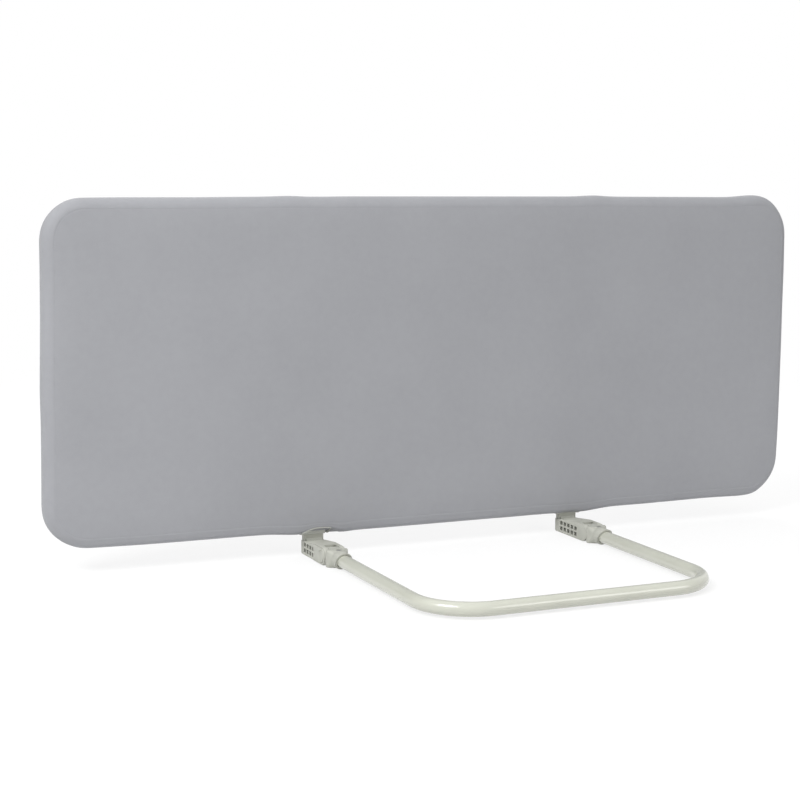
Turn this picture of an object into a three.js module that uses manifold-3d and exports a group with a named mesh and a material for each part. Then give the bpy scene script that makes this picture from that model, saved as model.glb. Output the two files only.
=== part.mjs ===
// Folding bed guard rail: a padded fabric guard on a tube frame, carried by two
// lockable hinges on a U-shaped base tube that lies under the mattress.
// Millimetres. +X runs along the guard, -Y points over the mattress, +Z is up.

import * as THREE from 'three';
import { mergeVertices } from 'three/addons/utils/BufferGeometryUtils.js';
import Module from 'manifold-3d';

const wasm = await Module();
wasm.setup();

// Guard and its cover
const guardLength = 1200;
const guardHeight = 478;
const frontFoamThickness = 1.5;
const backFoamThickness = 7;
const guardLift = 34.3;
const coverCornerRadius = 60;
const coverEdgeRadius = 15;
const coverWall = 1.5;
const fabricGap = 0.35;
const railGap = 1;
const bladeSlotGap = 1.5;
const closureSetback = 24.2;
const closureOverlap = 10;
const closureWidth = 16;
const closureSlit = 4;
const stripThickness = 1.2;

// Tubes
const tubeRadius = 9.55;
const tubeWall = 1.2;
const tubeSides = 16;
const bendSteps = 5;
const railJointClearance = 1.6;
const railJointLength = 42;
const railJointWall = 1.7;
const railJointTaper = 8;
const tubeEndGap = 1;

// Base
const legSpacing = 420.4;
const baseReach = 420;
const baseBendRadius = 75;

// Hinge bracket
const bracketWidth = 32;
const bracketHeight = 25;
const bracketEdge = 1;
const pivotSetback = 76;
const cheekThickness = 7;
const cheekGap = 0.5;
const runningGap = 0.3;
const heelHeight = 20;
const heelChamfer = 2;
const shoulderSetback = 49;
const bladeWidth = 30;
const bladeThickness = 10;
const bladeCornerRadius = 1.5;
const bladeGrip = 64;
const bladeFitGap = 0.5;
const uprightWall = 1.2;
const uprightStandoff = 2;
const ledgeThickness = 2.5;
const ledgeReach = 26.5;

// Ribbed sides of the hinge arm
const cellPitch = 10.6;
const ribThickness = 3.4;
const cellHeight = 5.6;
const cellDepth = 12;
const cellRowHeights = [7.2, 15.6];
const innerCellSetback = 14.7;
const innerCellColumns = 5;
const outerCellSetback = 9.5;
const outerCellColumns = 4;

// Socket that carries the base tube
const socketShoulder = 2.5;
const socketCornerRadius = 2;
const socketTaper = 12;
const collarLength = 19;
const collarSlant = 13;
const collarWall = 2.95;
const collarFlat = 0.2;
const socketFloor = 3.2;
const taperSteps = 5;

// Lock: round boss, push button, lugged dog, spring and pin
const bossRaise = 2;
const bossInset = 1;
const bossSetback = 46.5;
const bossCornerRadius = 3;
const pinRadius = 3;
const pinHeadRadius = 4;
const pinHeadThickness = 0.9;
const pinChamfer = 0.5;
const pinBlindWall = 2.5;
const dogCoreRadius = 7.9;
const dogLugRadius = 9.5;
const dogThickness = 4;
const dogRecess = 1.8;
const lugCount = 4;
const lugSpan = 0.62;
const lockWeb = 2.4;
const buttonTravel = 2.8;
const buttonRadius = 8.2;
const buttonThickness = 2.3;
const buttonDish = 0.7;
const buttonBevel = 0.6;
const buttonRim = 1.6;
const buttonDishSlope = 1.6;
const legCount = 3;
const legCircleRadius = 6.2;
const legRadius = 1.2;
const barbRadius = 1.6;
const springPocketWall = 5;
const springRadius = 5;
const springWireRadius = 0.45;
const springTurns = 3;
const springStepsPerTurn = 8;
const springSides = 5;

// Fasteners
const screwShankRadius = 1.6;
const screwHeadRadius = 3.2;
const screwHeadHeight = 1.9;
const screwDriveRadius = 1.3;
const screwDriveDepth = 1;
const socketScrewLength = 9;
const socketScrewSetback = 9.8;
const railScrewLength = 5.5;
const railScrewOffset = 12;
const boltRadius = 2.5;
const boltHeadRadius = 4.5;
const boltHeadHeight = 2.5;
const nutRadius = 4.6;
const nutHeight = 3.2;
const boltHeights = [22, 46];
const boltRows = ['lower', 'upper'];

// Modelling values
const overrun = 1;
const roundSides = 16;
const smallSides = 8;
const arcSteps = 7;
const cornerSteps = 2;
const hexSides = 6;
const coverArcSteps = 4;
const coverEdgeSteps = 3;
const quarterTurn = Math.PI / 2;
const fullTurn = Math.PI * 2;

// Places worked out from the sizes above
const pivotHeight = bracketHeight / 2;
const knuckleRadius = bracketHeight / 2;
const tongueRadius = knuckleRadius - runningGap;
const cheekInner = bracketWidth / 2 - cheekThickness;
const tongueHalfWidth = cheekInner - cheekGap;
const shoulderFace = knuckleRadius + runningGap;
const socketMouth = shoulderFace + socketShoulder + socketTaper + collarLength;
const tubeStart = shoulderFace + socketFloor + runningGap;
const boreRadius = tubeRadius + runningGap;
const collarRadius = tubeRadius + collarWall;
const webFace = cheekInner + dogRecess;
const buttonFloor = webFace + lockWeb;
const bossFace = bracketWidth / 2 + bossRaise;
const buttonBack = buttonFloor + buttonTravel + runningGap;
const buttonFace = buttonBack + buttonThickness;
const dogOuterFace = cheekInner - runningGap;
const dogInnerFace = dogOuterFace - dogThickness;
const pocketFloor = springPocketWall - tongueHalfWidth;

const railInset = coverWall + railGap + tubeRadius;
const bottomRailZ = guardLift + railInset;
const topRailZ = guardLift + guardHeight - railInset;
const guardCentreZ = guardLift + guardHeight / 2;
const railJointRadius = tubeRadius + runningGap + railJointWall;
const foamFace = railJointRadius + fabricGap;
const frontFace = foamFace + frontFoamThickness + fabricGap + coverWall;
const backFace = foamFace + backFoamThickness + fabricGap + coverWall;
const guardThickness = frontFace + backFace;
const coverSetback = (backFace - frontFace) / 2;
const uprightBottomZ = bottomRailZ - tubeRadius + uprightStandoff;
const uprightBoreWidth = bladeWidth + 2 * bladeFitGap;
const uprightBoreThickness = bladeThickness + 2 * bladeFitGap;
const uprightBoreCorner = bladeCornerRadius + bladeFitGap;
const uprightWidth = uprightBoreWidth + 2 * uprightWall;
const uprightThickness = uprightBoreThickness + 2 * uprightWall;
const bladeTopZ = uprightBottomZ + bladeGrip;
const hingeX = legSpacing / 2;
const railJointX = hingeX + uprightWidth / 2 + railJointClearance + railJointLength / 2;
const closureEnd = hingeX - bladeWidth / 2 - closureSetback;

// Finishes
const ivoryPowderCoat = { color: 0xe2e2d8, roughness: 0.38, metalness: 0.05 };
const ivoryNylon = { color: 0xc4c5ba, roughness: 0.6, metalness: 0 };
const innerSteel = { color: 0xb8babb, roughness: 0.4, metalness: 0.8 };
const greyFabric = { color: 0xa4a5a9, roughness: 0.92, metalness: 0 };
const paleFoam = { color: 0xe6e4dc, roughness: 0.95, metalness: 0 };
const greyTape = { color: 0x8c8d91, roughness: 0.95, metalness: 0 };

// Turns every face outwards, whichever way the outline was drawn.
function outward(geometry) {
  const bare = geometry.clone();
  bare.deleteAttribute('normal');
  bare.deleteAttribute('uv');
  const merged = mergeVertices(bare);
  const position = merged.attributes.position;
  const index = merged.index.array;
  const corners = [new THREE.Vector3(), new THREE.Vector3(), new THREE.Vector3()];
  let volume = 0;
  for (let start = 0; start < index.length; start += 3) {
    corners.forEach((corner, k) => corner.fromBufferAttribute(position, index[start + k]));
    volume += corners[0].dot(corners[1].clone().cross(corners[2]));
  }
  if (volume < 0) {
    for (let start = 0; start < index.length; start += 3) {
      [index[start + 1], index[start + 2]] = [index[start + 2], index[start + 1]];
    }
  }
  return merged;
}

function toSolid(geometry) {
  const merged = outward(geometry);
  const vertProperties = new Float32Array(merged.attributes.position.array);
  const triVerts = new Uint32Array(merged.index.array);
  return new wasm.Manifold(new wasm.Mesh({ numProp: 3, vertProperties, triVerts }));
}

function toGeometry(solid) {
  const mesh = solid.getMesh();
  const geometry = new THREE.BufferGeometry();
  geometry.setAttribute('position', new THREE.BufferAttribute(mesh.vertProperties, 3));
  geometry.setIndex(new THREE.BufferAttribute(mesh.triVerts, 1));
  return geometry;
}

function joined(geometries) {
  return geometries.map(toSolid).reduce((sum, solid) => sum.add(solid));
}

function cut(solid, geometries) {
  return geometries.map(toSolid).reduce((rest, tool) => rest.subtract(tool), solid);
}

// A hinge piece is drawn with its outer side towards +X; side -1 mirrors it.
function sided(geometry, side) {
  return side > 0 ? geometry : outward(geometry.clone().scale(side, 1, 1));
}

function finished(name, geometry, finish) {
  const faceted = geometry.index ? geometry.toNonIndexed() : geometry;
  const welded = outward(faceted);
  const shaded = welded.toNonIndexed();
  shaded.computeVertexNormals();
  const mesh = new THREE.Mesh(shaded, new THREE.MeshStandardMaterial(finish));
  mesh.name = name;
  return mesh;
}

function roundedRectangle(width, height, radius) {
  const x = width / 2;
  const y = height / 2;
  const shape = new THREE.Shape();
  shape.moveTo(x, radius - y);
  shape.absarc(x - radius, y - radius, radius, 0, quarterTurn);
  shape.absarc(radius - x, y - radius, radius, quarterTurn, 2 * quarterTurn);
  shape.absarc(radius - x, radius - y, radius, 2 * quarterTurn, 3 * quarterTurn);
  shape.absarc(x - radius, radius - y, radius, 3 * quarterTurn, fullTurn);
  return shape;
}

// Extrudes a shape drawn in the YZ plane along X, with its edges rounded by edge.
function prismAlongX(shape, fromX, toX, edge, steps) {
  const geometry = new THREE.ExtrudeGeometry(shape, {
    depth: toX - fromX - 2 * edge,
    bevelEnabled: edge > 0,
    bevelThickness: edge,
    bevelSize: edge,
    bevelOffset: -edge,
    bevelSegments: 1,
    curveSegments: steps,
  });
  geometry.translate(0, 0, fromX + edge);
  const axes = new THREE.Matrix4().makeBasis(
    new THREE.Vector3(0, 1, 0),
    new THREE.Vector3(0, 0, 1),
    new THREE.Vector3(1, 0, 0),
  );
  return geometry.applyMatrix4(axes);
}

function prismAlongZ(shape, fromZ, toZ, steps) {
  const options = { depth: toZ - fromZ, bevelEnabled: false, curveSegments: steps };
  return new THREE.ExtrudeGeometry(shape, options).translate(0, 0, fromZ);
}

function box(fromX, toX, fromY, toY, fromZ, toZ) {
  const geometry = new THREE.BoxGeometry(toX - fromX, toY - fromY, toZ - fromZ);
  return geometry.translate((fromX + toX) / 2, (fromY + toY) / 2, (fromZ + toZ) / 2);
}

function rodAlongX(radius, fromX, toX, sides) {
  const rod = new THREE.CylinderGeometry(radius, radius, toX - fromX, sides);
  return rod.rotateZ(-quarterTurn).translate((fromX + toX) / 2, 0, 0);
}

function rodAlongY(radius, fromY, toY, sides) {
  const rod = new THREE.CylinderGeometry(radius, radius, toY - fromY, sides);
  return rod.translate(0, (fromY + toY) / 2, 0);
}

function rodAlongZ(radius, fromZ, toZ, sides) {
  const rod = new THREE.CylinderGeometry(radius, radius, toZ - fromZ, sides);
  return rod.rotateX(quarterTurn).translate(0, 0, (fromZ + toZ) / 2);
}

// A turned piece: profile pairs are [radius, distance along X].
function turnedAlongX(profile, sides) {
  const points = profile.map(([radius, along]) => new THREE.Vector2(radius, along));
  return new THREE.LatheGeometry(points, sides).rotateZ(-quarterTurn);
}

// A path through corner points, rounded by one bend radius, with stations only
// at the ends of its straight runs and along its bends.
class BentPath extends THREE.Curve {
  constructor(corners, bendRadius) {
    super();
    this.stations = [];
    const first = new THREE.Vector3().subVectors(corners[1], corners[0]).normalize();
    this.stations.push({ point: corners[0].clone(), tangent: first });
    for (let k = 1; k < corners.length - 1; k += 1) {
      const arriving = new THREE.Vector3().subVectors(corners[k], corners[k - 1]).normalize();
      const leaving = new THREE.Vector3().subVectors(corners[k + 1], corners[k]).normalize();
      const turn = arriving.angleTo(leaving);
      const run = bendRadius * Math.tan(turn / 2);
      const across = leaving.clone().addScaledVector(arriving, -Math.cos(turn)).normalize();
      const bendStart = corners[k].clone().addScaledVector(arriving, -run);
      const centre = bendStart.clone().addScaledVector(across, bendRadius);
      for (let step = 0; step <= bendSteps; step += 1) {
        const angle = (turn * step) / bendSteps;
        const point = centre.clone();
        point.addScaledVector(across, -bendRadius * Math.cos(angle));
        point.addScaledVector(arriving, bendRadius * Math.sin(angle));
        const tangent = arriving.clone().multiplyScalar(Math.cos(angle));
        tangent.addScaledVector(across, Math.sin(angle));
        this.stations.push({ point, tangent });
      }
    }
    const last = corners[corners.length - 1];
    const end = new THREE.Vector3().subVectors(last, corners[corners.length - 2]).normalize();
    this.stations.push({ point: last.clone(), tangent: end });
  }

  stationAt(u) {
    return this.stations[Math.round(u * (this.stations.length - 1))];
  }

  getPointAt(u) {
    return this.stationAt(u).point.clone();
  }

  getTangentAt(u) {
    return this.stationAt(u).tangent.clone();
  }
}

function bentTube(corners, bendRadius) {
  const section = new THREE.Shape();
  section.absarc(0, 0, tubeRadius, 0, fullTurn);
  const bore = new THREE.Path();
  bore.absarc(0, 0, tubeRadius - tubeWall, 0, fullTurn);
  section.holes.push(bore);
  const path = new BentPath(corners, bendRadius);
  return new THREE.ExtrudeGeometry(section, {
    steps: path.stations.length - 1,
    extrudePath: path,
    curveSegments: tubeSides / 2,
  });
}

// A closed skin through rings with equal numbers of points, each ring convex.
function loft(rings) {
  const positions = rings.flat().flatMap((point) => point.toArray());
  const size = rings[0].length;
  const faces = [];
  for (let ring = 0; ring < rings.length - 1; ring += 1) {
    for (let k = 0; k < size; k += 1) {
      const a = ring * size + k;
      const b = ring * size + ((k + 1) % size);
      faces.push(a, b, b + size, a, b + size, a + size);
    }
  }
  const lastRing = (rings.length - 1) * size;
  for (let k = 1; k < size - 1; k += 1) {
    faces.push(0, k + 1, k);
    faces.push(lastRing, lastRing + k, lastRing + k + 1);
  }
  const geometry = new THREE.BufferGeometry();
  geometry.setAttribute('position', new THREE.Float32BufferAttribute(positions, 3));
  geometry.setIndex(faces);
  return geometry;
}

// Base tube
function baseTubeGeometry() {
  const start = -pivotSetback - tubeStart;
  const tube = bentTube([
    new THREE.Vector3(-hingeX, start, pivotHeight),
    new THREE.Vector3(-hingeX, -baseReach, pivotHeight),
    new THREE.Vector3(hingeX, -baseReach, pivotHeight),
    new THREE.Vector3(hingeX, start, pivotHeight),
  ], baseBendRadius);
  const holes = [-hingeX, hingeX].map((x) => {
    const hole = socketScrewPlace(countersunkScrew(runningGap));
    return hole.translate(x, 0, 0);
  });
  return toGeometry(cut(toSolid(tube), holes));
}

// Lugged outline shared by the lock dog, its pocket and its recess
function lockOutline(growth) {
  const halfLug = lugSpan / 2 + growth / dogLugRadius;
  const shape = new THREE.Shape();
  for (let lug = 0; lug < lugCount; lug += 1) {
    const middle = (fullTurn * lug) / lugCount;
    const next = (fullTurn * (lug + 1)) / lugCount;
    shape.absarc(0, 0, dogLugRadius + growth, middle - halfLug, middle + halfLug);
    shape.absarc(0, 0, dogCoreRadius + growth, middle + halfLug, next - halfLug);
  }
  return shape;
}

function onPivot(geometry) {
  return geometry.translate(0, -pivotSetback, pivotHeight);
}

function lockPrism(growth, fromX, toX) {
  return onPivot(prismAlongX(lockOutline(growth), fromX, toX, 0, cornerSteps));
}

function onLegCircle(makeRod) {
  return Array.from({ length: legCount }, (unused, k) => {
    const rod = makeRod().translate(0, 0, legCircleRadius);
    return onPivot(rod.rotateX((fullTurn * k) / legCount));
  });
}

// Hinge arm: ribbed foot, blade for the upright, and fork with two round cheeks
function armOutline() {
  const shape = new THREE.Shape();
  shape.moveTo(-pivotSetback, 0);
  shape.lineTo(bladeThickness / 2 - heelChamfer, 0);
  shape.lineTo(bladeThickness / 2, heelChamfer);
  shape.lineTo(bladeThickness / 2, heelHeight);
  shape.lineTo(-bladeThickness / 2, heelHeight);
  shape.lineTo(-shoulderSetback, bracketHeight);
  shape.lineTo(-pivotSetback, bracketHeight);
  shape.absarc(-pivotSetback, pivotHeight, knuckleRadius, quarterTurn, 3 * quarterTurn);
  return shape;
}

function bossOutline() {
  const radius = knuckleRadius - bossInset;
  const rear = -bossSetback;
  const low = bossInset;
  const high = bracketHeight - bossInset;
  const corner = bossCornerRadius;
  const shape = new THREE.Shape();
  shape.moveTo(-pivotSetback, low);
  shape.lineTo(rear - corner, low);
  shape.absarc(rear - corner, low + corner, corner, -quarterTurn, 0);
  shape.absarc(rear - corner, high - corner, corner, 0, quarterTurn);
  shape.lineTo(-pivotSetback, high);
  shape.absarc(-pivotSetback, pivotHeight, radius, quarterTurn, 3 * quarterTurn);
  return shape;
}

// The room between the cheeks: clear round the tongue and over its ledge
function forkOutline() {
  const radius = tongueRadius + cheekGap;
  const floor = ledgeThickness + runningGap - pivotHeight;
  const lowAngle = Math.asin(floor / radius);
  const shape = new THREE.Shape();
  shape.moveTo(-knuckleRadius - overrun, -pivotHeight - overrun);
  shape.lineTo(ledgeReach + runningGap, -pivotHeight - overrun);
  shape.lineTo(ledgeReach + runningGap, floor);
  shape.absarc(0, 0, radius, lowAngle, 0);
  shape.lineTo(radius, pivotHeight + overrun);
  shape.lineTo(-knuckleRadius - overrun, pivotHeight + overrun);
  return shape;
}

function cells(columns, setback, fromX, toX) {
  const halfWidth = (cellPitch - ribThickness) / 2;
  const tools = [];
  for (let column = 0; column < columns; column += 1) {
    const y = -setback - column * cellPitch;
    for (const z of cellRowHeights) {
      const low = z - cellHeight / 2;
      tools.push(box(fromX, toX, y - halfWidth, y + halfWidth, low, low + cellHeight));
    }
  }
  return tools;
}

function armGeometry() {
  const half = bracketWidth / 2;
  const blade = prismAlongZ(
    roundedRectangle(bladeWidth, bladeThickness, bladeCornerRadius),
    heelHeight - overrun,
    bladeTopZ,
    cornerSteps,
  );
  const body = joined([
    prismAlongX(armOutline(), -half, half, bracketEdge, arcSteps),
    prismAlongX(bossOutline(), half - bracketEdge - bossRaise, bossFace, bracketEdge, arcSteps),
    blade,
  ]);
  const pinBoreEnd = pinBlindWall - half;
  const headFloor = buttonFloor - pinHeadThickness - runningGap;
  const bolts = boltHeights.map((height) => {
    const hole = rodAlongY(boltRadius + runningGap, -bladeThickness, bladeThickness, smallSides);
    return hole.translate(0, 0, uprightBottomZ + height);
  });
  return toGeometry(cut(body, [
    onPivot(prismAlongX(forkOutline(), -cheekInner, cheekInner, 0, arcSteps)),
    ...cells(innerCellColumns, innerCellSetback, -half - overrun, cellDepth - half),
    ...cells(outerCellColumns, outerCellSetback, half - cellDepth, half + overrun),
    lockPrism(runningGap, cheekInner - cheekGap, webFace),
    onPivot(rodAlongX(pinRadius + runningGap, pinBoreEnd, buttonFloor, roundSides)),
    onPivot(rodAlongX(pinHeadRadius + runningGap, headFloor, buttonFloor, roundSides)),
    onPivot(rodAlongX(buttonRadius + runningGap, buttonFloor, bossFace + overrun, roundSides)),
    ...onLegCircle(() => rodAlongX(legRadius + runningGap, cheekInner, bossFace, smallSides)),
    ...bolts,
  ]));
}

// Socket: tongue with a stop ledge, shoulder, taper and round collar
function tongueOutline() {
  const ledgeTop = ledgeThickness - pivotHeight;
  const lowAngle = Math.asin(ledgeTop / tongueRadius);
  const root = shoulderFace + socketFloor;
  const shape = new THREE.Shape();
  shape.moveTo(-root, -pivotHeight);
  shape.lineTo(ledgeReach, -pivotHeight);
  shape.lineTo(ledgeReach, ledgeTop);
  shape.absarc(0, 0, tongueRadius, lowAngle, quarterTurn);
  shape.lineTo(-root, tongueRadius);
  return shape;
}

function socketRing(setback, halfWidth, halfHeight, corner) {
  const ring = [];
  for (let quarter = 0; quarter < 4; quarter += 1) {
    const signX = quarter % 3 === 0 ? 1 : -1;
    const signZ = quarter < 2 ? 1 : -1;
    const centre = new THREE.Vector3(signX * (halfWidth - corner), -setback, signZ * (halfHeight - corner));
    for (let step = 0; step <= taperSteps; step += 1) {
      const angle = quarterTurn * (quarter + step / taperSteps);
      const arm = new THREE.Vector3(corner * Math.cos(angle), 0, corner * Math.sin(angle));
      ring.push(centre.clone().add(arm));
    }
  }
  return ring;
}

function socketBodyGeometry() {
  const half = bracketWidth / 2;
  const taperStart = shoulderFace + socketShoulder;
  const taperEnd = taperStart + socketTaper;
  const rings = [
    socketRing(shoulderFace, half - bracketEdge, knuckleRadius - bracketEdge, bracketEdge),
    socketRing(shoulderFace + bracketEdge, half, knuckleRadius, socketCornerRadius),
  ];
  for (let step = 0; step <= taperSteps; step += 1) {
    const t = step / taperSteps;
    const ease = THREE.MathUtils.smoothstep(t, 0, 1);
    rings.push(socketRing(
      THREE.MathUtils.lerp(taperStart, taperEnd, t),
      THREE.MathUtils.lerp(half, collarRadius, ease),
      THREE.MathUtils.lerp(knuckleRadius, collarRadius, ease),
      THREE.MathUtils.lerp(socketCornerRadius, collarRadius - collarFlat, ease),
    ));
  }
  const round = collarRadius - collarFlat;
  rings.push(socketRing(socketMouth + overrun, collarRadius, collarRadius, round));
  return onPivot(loft(rings));
}

// What the collar's slanted mouth leaves away: its lip reaches furthest over the tube's top
function mouthCutter() {
  const high = collarRadius + overrun;
  const lean = collarSlant / (2 * collarRadius);
  const mouthAt = (z) => -socketMouth + (collarRadius - z) * lean;
  const far = -socketMouth - 2 * overrun;
  const shape = new THREE.Shape();
  shape.moveTo(mouthAt(-high), -high);
  shape.lineTo(mouthAt(high), high);
  shape.lineTo(far, high);
  shape.lineTo(far, -high);
  return onPivot(prismAlongX(shape, -bracketWidth, bracketWidth, 0, arcSteps));
}

function socketScrewPlace(geometry) {
  return geometry.translate(0, -pivotSetback - shoulderFace - socketScrewSetback, bracketHeight);
}

function socketGeometry() {
  const body = joined([
    onPivot(prismAlongX(tongueOutline(), -tongueHalfWidth, tongueHalfWidth, 0, arcSteps)),
    socketBodyGeometry(),
  ]);
  const bore = rodAlongY(boreRadius, -socketMouth - 2 * overrun, -shoulderFace - socketFloor, tubeSides);
  return toGeometry(cut(body, [
    mouthCutter(),
    onPivot(bore),
    onPivot(rodAlongX(pinRadius + runningGap, -cheekInner, cheekInner, roundSides)),
    lockPrism(runningGap, pocketFloor, cheekInner),
    socketScrewPlace(countersunkScrew(runningGap)),
  ]));
}

// A countersunk screw hanging below z = 0, or the hole for it when grown
function countersunkScrew(growth) {
  const headTop = growth > 0 ? overrun : -runningGap;
  const headLow = -runningGap - screwHeadHeight - growth;
  const tip = -socketScrewLength - growth;
  const points = [
    [0, tip],
    [screwShankRadius + growth, tip],
    [screwShankRadius + growth, headLow],
    [screwHeadRadius + growth, -runningGap - growth / 2],
    [screwHeadRadius + growth, headTop],
    [0, headTop],
  ].map(([radius, z]) => new THREE.Vector2(radius, z));
  return new THREE.LatheGeometry(points, smallSides).rotateX(quarterTurn);
}

function hexDrive(topZ) {
  return rodAlongZ(screwDriveRadius, topZ - screwDriveDepth, topZ + overrun, hexSides);
}

function socketScrewGeometry() {
  const screw = cut(toSolid(countersunkScrew(0)), [hexDrive(-runningGap)]);
  return socketScrewPlace(toGeometry(screw));
}

// Pin: shank through the tongue into the blind cheek, flat head under the button
function pinGeometry() {
  const tip = pinBlindWall - bracketWidth / 2 + runningGap;
  const headBack = buttonFloor - pinHeadThickness - runningGap;
  return onPivot(turnedAlongX([
    [0, tip],
    [pinRadius - pinChamfer, tip],
    [pinRadius, tip + pinChamfer],
    [pinRadius, headBack],
    [pinHeadRadius, headBack],
    [pinHeadRadius, headBack + pinHeadThickness],
    [0, headBack + pinHeadThickness],
  ], roundSides));
}

function dogGeometry() {
  const dog = toSolid(lockPrism(0, dogInnerFace, dogOuterFace));
  const bore = rodAlongX(pinRadius + runningGap, dogInnerFace - overrun, dogOuterFace + overrun, roundSides);
  return toGeometry(cut(dog, [onPivot(bore)]));
}

// Push button: dished cap with snap-in legs that bear on the lock dog
function buttonGeometry() {
  const cap = onPivot(turnedAlongX([
    [0, buttonBack],
    [buttonRadius, buttonBack],
    [buttonRadius, buttonFace - buttonBevel],
    [buttonRadius - buttonBevel, buttonFace],
    [buttonRadius - buttonRim, buttonFace],
    [buttonRadius - buttonRim - buttonDishSlope, buttonFace - buttonDish],
    [0, buttonFace - buttonDish],
  ], roundSides));
  const legs = onLegCircle(() => rodAlongX(legRadius, cheekInner, buttonBack + overrun, smallSides));
  const barbs = onLegCircle(() => rodAlongX(barbRadius, cheekInner, webFace - runningGap, smallSides));
  return toGeometry(joined([cap, ...legs, ...barbs]));
}

// Compression spring round the pin, between the pocket floor and the dog
function springCentreline() {
  const start = pocketFloor + runningGap + springWireRadius;
  const end = dogInnerFace - runningGap - springWireRadius;
  const steps = springTurns * springStepsPerTurn;
  return Array.from({ length: steps + 1 }, (unused, k) => {
    const angle = (fullTurn * k) / springStepsPerTurn;
    const x = THREE.MathUtils.lerp(start, end, k / steps);
    return new THREE.Vector3(x, springRadius * Math.cos(angle), springRadius * Math.sin(angle));
  });
}

function springGeometry() {
  const along = new THREE.Vector3(1, 0, 0);
  const rings = springCentreline().map((centre) => {
    const radial = new THREE.Vector3(0, centre.y, centre.z).normalize();
    return Array.from({ length: springSides }, (unused, k) => {
      const angle = (fullTurn * k) / springSides;
      const point = centre.clone();
      point.addScaledVector(radial, springWireRadius * Math.cos(angle));
      point.addScaledVector(along, springWireRadius * Math.sin(angle));
      return point;
    });
  });
  return onPivot(loft(rings));
}

// Least clear distance between turns, measured between centreline points
function springSelfGap() {
  const points = springCentreline();
  let least = Infinity;
  points.forEach((point, k) => {
    for (let other = k + springStepsPerTurn / 2; other < points.length; other += 1) {
      least = Math.min(least, point.distanceTo(points[other]));
    }
  });
  return least - 2 * springWireRadius;
}

console.log(`lock spring: least gap between turns ${springSelfGap().toFixed(2)} mm`);

// Frame inside the cover
function hollowRail(fromX, toX, z) {
  const outer = rodAlongX(tubeRadius, fromX, toX, tubeSides).translate(0, 0, z);
  const bore = rodAlongX(tubeRadius - tubeWall, fromX - overrun, toX + overrun, tubeSides);
  return { outer, bore: bore.translate(0, 0, z) };
}

function railScrewPlaces() {
  const places = [];
  for (const [label, side] of [['left', -1], ['right', 1]]) {
    for (const [level, z, inwards] of [['top', topRailZ, -1], ['bottom', bottomRailZ, 1]]) {
      for (const [place, offset] of [['inner', -railScrewOffset], ['outer', railScrewOffset]]) {
        const name = `${level}_${label}_joint_${place}_screw`;
        places.push({ name, x: side * (railJointX + offset), z, inwards });
      }
    }
  }
  return places;
}

function railScrewHoles() {
  return railScrewPlaces().map(({ x, z, inwards }) => {
    const reach = railJointRadius + overrun;
    const low = Math.min(0, inwards * reach);
    const high = Math.max(0, inwards * reach);
    const hole = rodAlongZ(screwShankRadius + runningGap, low, high, smallSides);
    return hole.translate(x, 0, z);
  });
}

function centreFrameGeometry() {
  const end = railJointX - tubeEndGap / 2;
  const rails = [bottomRailZ, topRailZ].map((z) => hollowRail(-end, end, z));
  const outerShape = () => roundedRectangle(uprightWidth, uprightThickness, uprightBoreCorner + uprightWall);
  const boreShape = () => roundedRectangle(uprightBoreWidth, uprightBoreThickness, uprightBoreCorner);
  const places = [-hingeX, hingeX];
  const uprights = places.map((x) => {
    const upright = prismAlongZ(outerShape(), uprightBottomZ, topRailZ, cornerSteps);
    return upright.translate(x, 0, 0);
  });
  const boreStart = bottomRailZ - tubeRadius - overrun;
  const uprightBores = places.map((x) => {
    const bore = prismAlongZ(boreShape(), boreStart, topRailZ - tubeRadius, cornerSteps);
    return bore.translate(x, 0, 0);
  });
  const boltHoles = places.flatMap((x) => boltHeights.map((height) => {
    const hole = rodAlongY(boltRadius + runningGap, -uprightThickness, uprightThickness, smallSides);
    return hole.translate(x, 0, uprightBottomZ + height);
  }));
  const bottom = cut(toSolid(rails[0].outer), [rails[0].bore]);
  const walls = cut(joined(uprights), uprightBores);
  const lower = cut(bottom.add(walls), uprightBores);
  const whole = cut(lower.add(toSolid(rails[1].outer)), [rails[1].bore, ...boltHoles]);
  return toGeometry(cut(whole, railScrewHoles()));
}

function endLoopGeometry(side) {
  const near = side * (railJointX + tubeEndGap / 2);
  const far = side * (guardLength / 2 - railInset);
  const loop = bentTube([
    new THREE.Vector3(near, 0, topRailZ),
    new THREE.Vector3(far, 0, topRailZ),
    new THREE.Vector3(far, 0, bottomRailZ),
    new THREE.Vector3(near, 0, bottomRailZ),
  ], coverCornerRadius - railInset);
  return toGeometry(cut(toSolid(loop), railScrewHoles()));
}

function railJointGeometry(x, z) {
  const half = railJointLength / 2;
  const sleeve = rodAlongX(railJointRadius, x - half, x + half, roundSides).translate(0, 0, z);
  const bore = rodAlongX(boreRadius, x - half - overrun, x + half + overrun, tubeSides);
  return toGeometry(cut(toSolid(sleeve), [bore.translate(0, 0, z), ...railScrewHoles()]));
}

function railScrewGeometry({ x, z, inwards }) {
  const seat = railJointRadius + runningGap;
  const head = rodAlongZ(screwHeadRadius, seat, seat + screwHeadHeight, smallSides);
  const driveFloor = seat + screwHeadHeight - screwDriveDepth;
  const shank = rodAlongZ(screwShankRadius, seat - railScrewLength, driveFloor, smallSides);
  const screw = toGeometry(cut(joined([head, shank]), [hexDrive(seat + screwHeadHeight)]));
  return (inwards > 0 ? screw : screw.rotateX(2 * quarterTurn)).translate(x, 0, z);
}

function boltPlaces() {
  const places = [];
  for (const [label, x] of [['left', -hingeX], ['right', hingeX]]) {
    boltHeights.forEach((height, row) => {
      places.push({ label: `${label}_${boltRows[row]}_arm`, x, z: uprightBottomZ + height });
    });
  }
  return places;
}

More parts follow.
